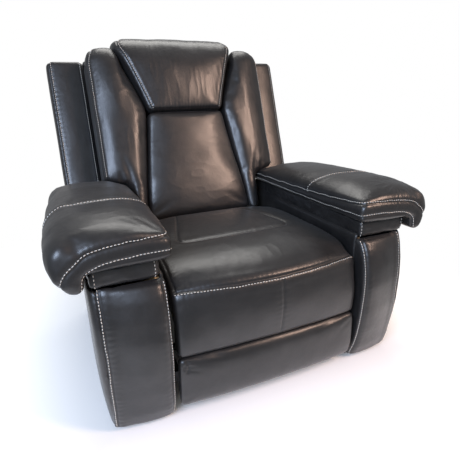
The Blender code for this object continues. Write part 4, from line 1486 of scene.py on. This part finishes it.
class PlasticFinish(Finish):
    """An injection-moulded plastic with a spark-eroded texture."""

    def __init__(self, look: PlasticLook) -> None:
        """Take the plastic's look."""
        super().__init__()
        self.look = look
        self.name = look.name

    def build(self, tree: bpy.types.NodeTree, shader: bpy.types.Node, place: bpy.types.NodeSocket) -> None:
        """Wire the mould texture and the polish of handling."""
        look = self.look
        spark = add(tree, "ShaderNodeTexNoise", {"Vector": place, "Scale": per_metre(look.spark_mm),
                                                 "Detail": 3.0}).outputs[0]
        wear = add(tree, "ShaderNodeTexNoise", {"Vector": place, "Scale": per_metre(18.0),
                                                "Detail": 3.0}).outputs[0]
        share = add(tree, "ShaderNodeMapRange", {"Value": wear, **STRETCH}).outputs[0]
        tone = add(tree, "ShaderNodeMix", {0: share, 6: linear(look.tone), 7: linear(look.worn)},
                   **COLOUR).outputs[2]
        rough = add(tree, "ShaderNodeMapRange", {"Value": wear, **STRETCH, "To Min": look.rough[0],
                                                 "To Max": look.rough[1]}).outputs[0]
        bump = add(tree, "ShaderNodeBump", {"Height": spark, "Strength": 0.4, "Distance": 0.08 * MM})
        feed(tree, shader, {"Base Color": tone, "Roughness": rough, "Normal": bump.outputs[0], "IOR": 1.46})


class PaintedPlaster(Finish):
    """A smooth floor under matt white paint."""

    name = "painted_floor_matt"

    def build(self, tree: bpy.types.NodeTree, shader: bpy.types.Node, place: bpy.types.NodeSocket) -> None:
        """Wire a faint unevenness, a glow that starts past the chair and a soft edge into the white room."""
        cloud = add(tree, "ShaderNodeTexNoise", {"Vector": place, "Scale": per_metre(600.0)}).outputs[0]
        paint = add(tree, "ShaderNodeMix", {0: cloud, 6: linear("#F4F3F1"), 7: linear("#F7F6F5")},
                    **COLOUR).outputs[2]
        size = add(tree, "ShaderNodeVectorMath", {0: place}, operation="ABSOLUTE").outputs[0]
        apart = add(tree, "ShaderNodeSeparateXYZ", {0: size})
        reach = add(tree, "ShaderNodeMath", {0: apart.outputs[0], 1: apart.outputs[1]},
                    operation="MAXIMUM").outputs[0]
        far = add(tree, "ShaderNodeMapRange", {"Value": reach, "From Min": 0.40, "From Max": 0.75,
                                               "To Min": 0.0, "To Max": 0.42}).outputs[0]
        fade = add(tree, "ShaderNodeMapRange", {"Value": reach, "From Min": 0.60, "From Max": 1.25,
                                                "To Min": 1.0, "To Max": 0.0},
                   interpolation_type="SMOOTHSTEP").outputs[0]
        feed(tree, shader, {"Base Color": paint, "Alpha": fade, "Emission Color": (1.0, 1.0, 1.0, 1.0),
                            "Emission Strength": far, "Roughness": 0.75})


LEATHER = BondedLeather()
THREAD = PolyesterThread()
# Zinc plate gives a cold, fairly bright metal with a faint spangle.
ZINC = MetalFinish(MetalLook("mild_steel_zinc_plated", "#9A9DA0", "#C6C8CA", 1.0, (0.28, 0.42), 6.0, 0.02))
SLOT_FINISHES: dict[str, Finish] = {
    "black_leather": LEATHER,
    "plywood": Plywood(),
    # Powder coat gives a dull black with a fine orange peel.
    "black_painted_steel": MetalFinish(MetalLook("mild_steel_powder_coated", "#131415", "#1E1F21", 0.0,
                                                 (0.38, 0.52), 1.3, 0.06)),
    "zinc_plated_steel": ZINC,
    # Oil tempering gives a dark, slightly brown-grey metal.
    "spring_steel": MetalFinish(MetalLook("spring_steel_oil_tempered", "#2F3033", "#55585C", 1.0,
                                          (0.30, 0.45), 4.0, 0.02)),
    # Moulded nylon gives an even black with a soft sparkle, and moulded ABS a paler, smoother grey.
    "black_plastic": PlasticFinish(PlasticLook("nylon_moulded_black", "#151516", "#202022", (0.42, 0.56),
                                               0.7)),
    "grey_button_plastic": PlasticFinish(PlasticLook("abs_moulded_grey", "#7D8084", "#96999D",
                                                     (0.34, 0.46), 0.6)),
}


# Rows of stitches and fasteners, by Geometry Nodes ------------------------------------------------


def new_tree(name: str, start: str, sizes: Sequence[str], material: str, result: str) -> bpy.types.NodeTree:
    """Start a geometry node tree with its named inputs and its output.

    Args:
        name: Name of the tree.
        start: Name of the geometry input.
        sizes: Names of the inputs for sizes.
        material: Name of the material input.
        result: Name of the geometry output.

    Returns:
        The tree, with no nodes yet.
    """
    tree = bpy.data.node_groups.new(name, "GeometryNodeTree")
    sockets = [(start, "INPUT", "Geometry")] + [(word, "INPUT", "Float") for word in sizes]
    sockets += [(material, "INPUT", "Material"), (result, "OUTPUT", "Geometry")]
    for word, way, kind in sockets:
        tree.interface.new_socket(word, in_out=way, socket_type=f"NodeSocket{kind}")
    return tree


@dataclass(frozen=True)
class StitchRow:
    """A row of lock stitches.

    Attributes:
        pitch: Distance from stitch to stitch.
        length: Visible length of one stitch.
        thickness: Thickness of the thread.
    """

    # The thread is drawn thicker than real upholstery thread, so that its rows show.
    pitch: float = 8.5 * MM
    length: float = 6.4 * MM
    thickness: float = 2.3 * MM

    def tree(self) -> bpy.types.NodeTree:
        """Build the node tree that turns lines into stitches."""
        tree = new_tree("stitch_row", "Lines", ("Pitch", "Length", "Thickness"), "Thread", "Stitches")
        given = add(tree, "NodeGroupInput").outputs
        curve = add(tree, "GeometryNodeMeshToCurve", {"Mesh": given["Lines"]}).outputs[0]
        spots = add(tree, "GeometryNodeCurveToPoints", {"Curve": curve, "Length": given["Pitch"]},
                    mode="LENGTH")
        bead = add(tree, "GeometryNodeMeshUVSphere", {"Segments": 6, "Rings": 4, "Radius": 0.5}).outputs[0]
        size = add(tree, "ShaderNodeCombineXYZ", {"X": given["Thickness"], "Y": given["Thickness"],
                                                  "Z": given["Length"]}).outputs[0]
        rows = add(tree, "GeometryNodeInstanceOnPoints", {"Points": spots.outputs["Points"],
                                                          "Instance": bead,
                                                          "Rotation": spots.outputs["Rotation"],
                                                          "Scale": size})
        real = add(tree, "GeometryNodeRealizeInstances", {"Geometry": rows.outputs[0]}).outputs[0]
        smooth = add(tree, "GeometryNodeSetShadeSmooth", {"Geometry": real}).outputs[0]
        dressed = add(tree, "GeometryNodeSetMaterial", {"Geometry": smooth,
                                                        "Material": given["Thread"]}).outputs[0]
        add(tree, "NodeGroupOutput", {"Stitches": dressed})
        return tree

    def sew(self, name: str, body: str, lines: Sequence[Array], tree: bpy.types.NodeTree) -> None:
        """Make the stitches of all the lines on one body.

        Args:
            name: Name of the finished piece.
            body: CAD body that the stitches ride on.
            lines: The laid lines.
            tree: The tree from this class.
        """
        places, edges = [], []
        for line in lines:
            first = sum(len(part) for part in places)
            places.append(line)
            edges += [(first + index, first + index + 1) for index in range(len(line) - 1)]
        mesh = bpy.data.meshes.new(name)
        mesh.from_pydata(np.vstack(places).tolist(), edges, [])
        made = new_object(name, mesh)
        values = {"Pitch": self.pitch, "Length": self.length, "Thickness": self.thickness,
                  "Thread": THREAD.material()}
        apply_tree(made, tree, values)
        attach(made, body)
        log.info("%s: %d faces", name, len(made.data.polygons))


def apply_tree(made: bpy.types.Object, tree: bpy.types.NodeTree, values: dict[str, object]) -> None:
    """Run a node tree on an object and keep the plain result.

    Args:
        made: The object.
        tree: The tree.
        values: A value for each of the tree's named inputs.
    """
    modifier = made.modifiers.new(tree.name, "NODES")
    modifier.node_group = tree
    for item in tree.interface.items_tree:
        if item.in_out == "INPUT" and item.name in values:
            modifier[item.identifier] = values[item.name]
    bake_modifiers(made)


@dataclass(frozen=True)
class Fastener:
    """A domed rivet head, or a hexagonal bolt head, whose axis runs along X.

    Attributes:
        radius: Radius of the head.
        height: Height of the head.
        sides: 6 for a bolt, more for a rivet.
    """

    radius: float
    height: float
    sides: int

    def tree(self, name: str) -> bpy.types.NodeTree:
        """Build the node tree that puts a head at each point."""
        tree = new_tree(name, "Points", ("Radius", "Height"), "Metal", "Heads")
        given = add(tree, "NodeGroupInput").outputs
        if self.sides == 6:
            head = add(tree, "GeometryNodeMeshCylinder", {"Vertices": 6, "Radius": 1.0,
                                                          "Depth": 2.0}).outputs[0]
        else:
            head = add(tree, "GeometryNodeMeshUVSphere", {"Segments": self.sides, "Rings": 8,
                                                          "Radius": 1.0}).outputs[0]
        size = add(tree, "ShaderNodeCombineXYZ", {"X": given["Radius"], "Y": given["Radius"],
                                                  "Z": given["Height"]}).outputs[0]
        turned = add(tree, "GeometryNodeTransform", {"Geometry": head,
                                                     "Rotation": (0.0, math.pi / 2.0, 0.0),
                                                     "Scale": size}).outputs[0]
        dots = add(tree, "GeometryNodeMeshToPoints", {"Mesh": given["Points"]}).outputs[0]
        heads = add(tree, "GeometryNodeInstanceOnPoints", {"Points": dots, "Instance": turned}).outputs[0]
        real = add(tree, "GeometryNodeRealizeInstances", {"Geometry": heads}).outputs[0]
        dressed = add(tree, "GeometryNodeSetMaterial", {"Geometry": real,
                                                        "Material": given["Metal"]}).outputs[0]
        add(tree, "NodeGroupOutput", {"Heads": dressed})
        return tree

    def drive(self, name: str, body: str, places: Sequence[Point]) -> None:
        """Put a head at each place on one body."""
        mesh = bpy.data.meshes.new(name)
        mesh.from_pydata([tuple(place) for place in places], [], [])
        made = new_object(name, mesh)
        values = {"Radius": self.radius, "Height": self.height, "Metal": ZINC.material()}
        apply_tree(made, self.tree(name), values)
        if self.sides > 6:
            made.data.shade_smooth()
        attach(made, body)
        log.info("%s: %d faces", name, len(made.data.polygons))


class Mechanism:
    """The steel and plywood inside the chair: finishes for the solid parts, and their fasteners' heads."""

    RIVET = Fastener(8.0 * MM, 2.6 * MM, 16)
    BOLT = Fastener(8.5 * MM, 3.4 * MM, 6)

    def dress(self) -> None:
        """Give every shown solid part the finish of its own slot."""
        for row in frame["record"]["subparts"]:
            node = frame["nodes"][row["node"]]
            if node.hide_render:
                continue
            node.data.materials.clear()
            node.data.materials.append(SLOT_FINISHES[row["material_slot"]].material())

    def fasten(self) -> None:
        """Put rivets on the footrest links and bolts on the frame."""
        pivots = {joint["name"]: joint["pos_m"] for joint in frame["joints"] if "pos_m" in joint}
        plans = (("swing_link_rivets", "swing_links", "swing_link", ("footrest_extend", "carry_link_turn")),
                 ("carry_link_rivets", "carry_links", "carry_link", ("footrest_turn",)))
        for name, body, stem, joints in plans:
            places = []
            for side in Side:
                low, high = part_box(f"{stem}_{side.word}")
                inner = min(abs(low.x), abs(high.x))
                places += [(side.value * inner, pivots[joint][1], pivots[joint][2]) for joint in joints]
            self.RIVET.drive(name, body, places)
        places = []
        for side in Side:
            low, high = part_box(f"base_rail_{side.word}")
            outer = max(abs(low.x), abs(high.x))
            for y in (low.y + 0.040, 0.5 * (low.y + high.y), high.y - 0.040):
                places.append((side.value * (outer + 0.5 * MM), y, 0.056))
        self.BOLT.drive("base_rail_bolts", "base", places)


# The studio ---------------------------------------------------------------------------------------


@dataclass(frozen=True)
class SoftLight:
    """A square soft light.

    Attributes:
        name: Its name.
        place: Where it hangs.
        aim: What it points at.
        size: Width and height.
        watts: Its power.
        tint: Its colour.
    """

    name: str
    place: Point
    aim: Point
    size: tuple[float, float]
    watts: float
    tint: str

    def hang(self) -> None:
        """Hang the light."""
        lamp = bpy.data.lights.new(self.name, "AREA")
        lamp.shape = "RECTANGLE"
        lamp.size, lamp.size_y = self.size
        lamp.energy = self.watts
        lamp.color = linear(self.tint)[:3]
        made = bpy.data.objects.new(self.name, lamp)
        bpy.context.scene.collection.objects.link(made)
        place = Vector(self.place)
        turn = (Vector(self.aim) - place).to_track_quat("-Z", "Y")
        made.matrix_world = Matrix.LocRotScale(place, turn, None)


class Studio:
    """A plain pale floor, soft lights and the camera."""

    LIGHTS = (
        SoftLight("window_light", (-2.1, -2.1, 1.9), (0.0, -0.1, 0.5), (1.5, 1.5), 104.0, "#CBDDFA"),
        SoftLight("warm_fill", (1.62, -2.1, 2.2), (0.1, 0.1, 0.6), (0.6, 1.2), 58.0, "#FFD8C2"),
        SoftLight("top_light", (0.3, 1.2, 2.9), (0.0, 0.0, 0.6), (2.0, 1.2), 36.0, "#F4F2EE"),
    )
    EYE = Vector((-0.4842, -1.3393, 0.8745))
    YAW = 0.39968
    PITCH = 0.34951
    ROLL = -0.01809
    LENS = 30.17

    def floor(self) -> None:
        """Lay the floor."""
        shape = bmesh.new()
        bmesh.ops.create_grid(shape, x_segments=8, y_segments=8, size=40.0)
        mesh = bpy.data.meshes.new("studio_floor")
        shape.to_mesh(mesh)
        shape.free()
        mesh.materials.append(PaintedPlaster().material())
        new_object("studio_floor", mesh)

    def world(self) -> None:
        """Fill the room with soft light, and show white behind the chair."""
        world = bpy.data.worlds.new("studio_world")
        world.use_nodes = True
        tree = world.node_tree
        tree.nodes.clear()
        seen = add(tree, "ShaderNodeLightPath").outputs["Is Camera Ray"]
        room = add(tree, "ShaderNodeBackground", {"Color": linear("#E9EBEE"), "Strength": 0.37}).outputs[0]
        paper = add(tree, "ShaderNodeBackground", {"Color": (1.0, 1.0, 1.0, 1.0),
                                                   "Strength": 1.0}).outputs[0]
        both = add(tree, "ShaderNodeMixShader", {0: seen, 1: room, 2: paper}).outputs[0]
        add(tree, "ShaderNodeOutputWorld", {"Surface": both})
        bpy.context.scene.world = world

    def camera(self) -> None:
        """Set the camera in front of the chair, to its right-hand side."""
        ahead = Vector((math.sin(self.YAW) * math.cos(self.PITCH),
                        math.cos(self.YAW) * math.cos(self.PITCH),
                        -math.sin(self.PITCH)))
        right = Vector((math.cos(self.YAW), -math.sin(self.YAW), 0.0))
        up = right.cross(ahead)
        turned_right = math.cos(self.ROLL) * right + math.sin(self.ROLL) * up
        turned_up = math.cos(self.ROLL) * up - math.sin(self.ROLL) * right
        lens = bpy.data.cameras.new("studio_camera")
        lens.lens = self.LENS
        lens.sensor_width = 36.0
        made = bpy.data.objects.new("studio_camera", lens)
        bpy.context.scene.collection.objects.link(made)
        made.matrix_world = Matrix((
            (turned_right.x, turned_up.x, -ahead.x, self.EYE.x),
            (turned_right.y, turned_up.y, -ahead.y, self.EYE.y),
            (turned_right.z, turned_up.z, -ahead.z, self.EYE.z),
            (0.0, 0.0, 0.0, 1.0)))
        bpy.context.scene.camera = made

    def build(self) -> None:
        """Set up the floor, the light and the camera."""
        self.floor()
        self.world()
        for light in self.LIGHTS:
            light.hang()
        self.camera()
        bpy.context.scene.view_settings.view_transform = "Standard"


# Making the chair ---------------------------------------------------------------------------------


def main() -> None:
    """Build the chair around its solid frame, then the studio."""
    logging.basicConfig(level=logging.INFO, format="%(message)s")
    pads = Seat().pads() + Back().pads() + Headrest().pads() + Footrest().pads()
    for side in Side:
        pads += Arm(side).pads()
    fill_pads(pads)
    lines: dict[str, list[Array]] = {}
    for pad in pads:
        if pad.fine:
            pad.cover.refine()
        pad.cover.fold(pad.folds)
        pad.cover.sew(pad.seams)
        pad.cover.finish(LEATHER.material(), pad.fill)
        lines.setdefault(pad.cover.body, []).extend(pad.cover.stitch_lines)
    row = StitchRow()
    tree = row.tree()
    for body, found in lines.items():
        if found:
            row.sew(f"{body}_stitching", body, found, tree)
    mechanism = Mechanism()
    mechanism.dress()
    mechanism.fasten()
    Studio().build()


if __name__ == "__main__":
    main()
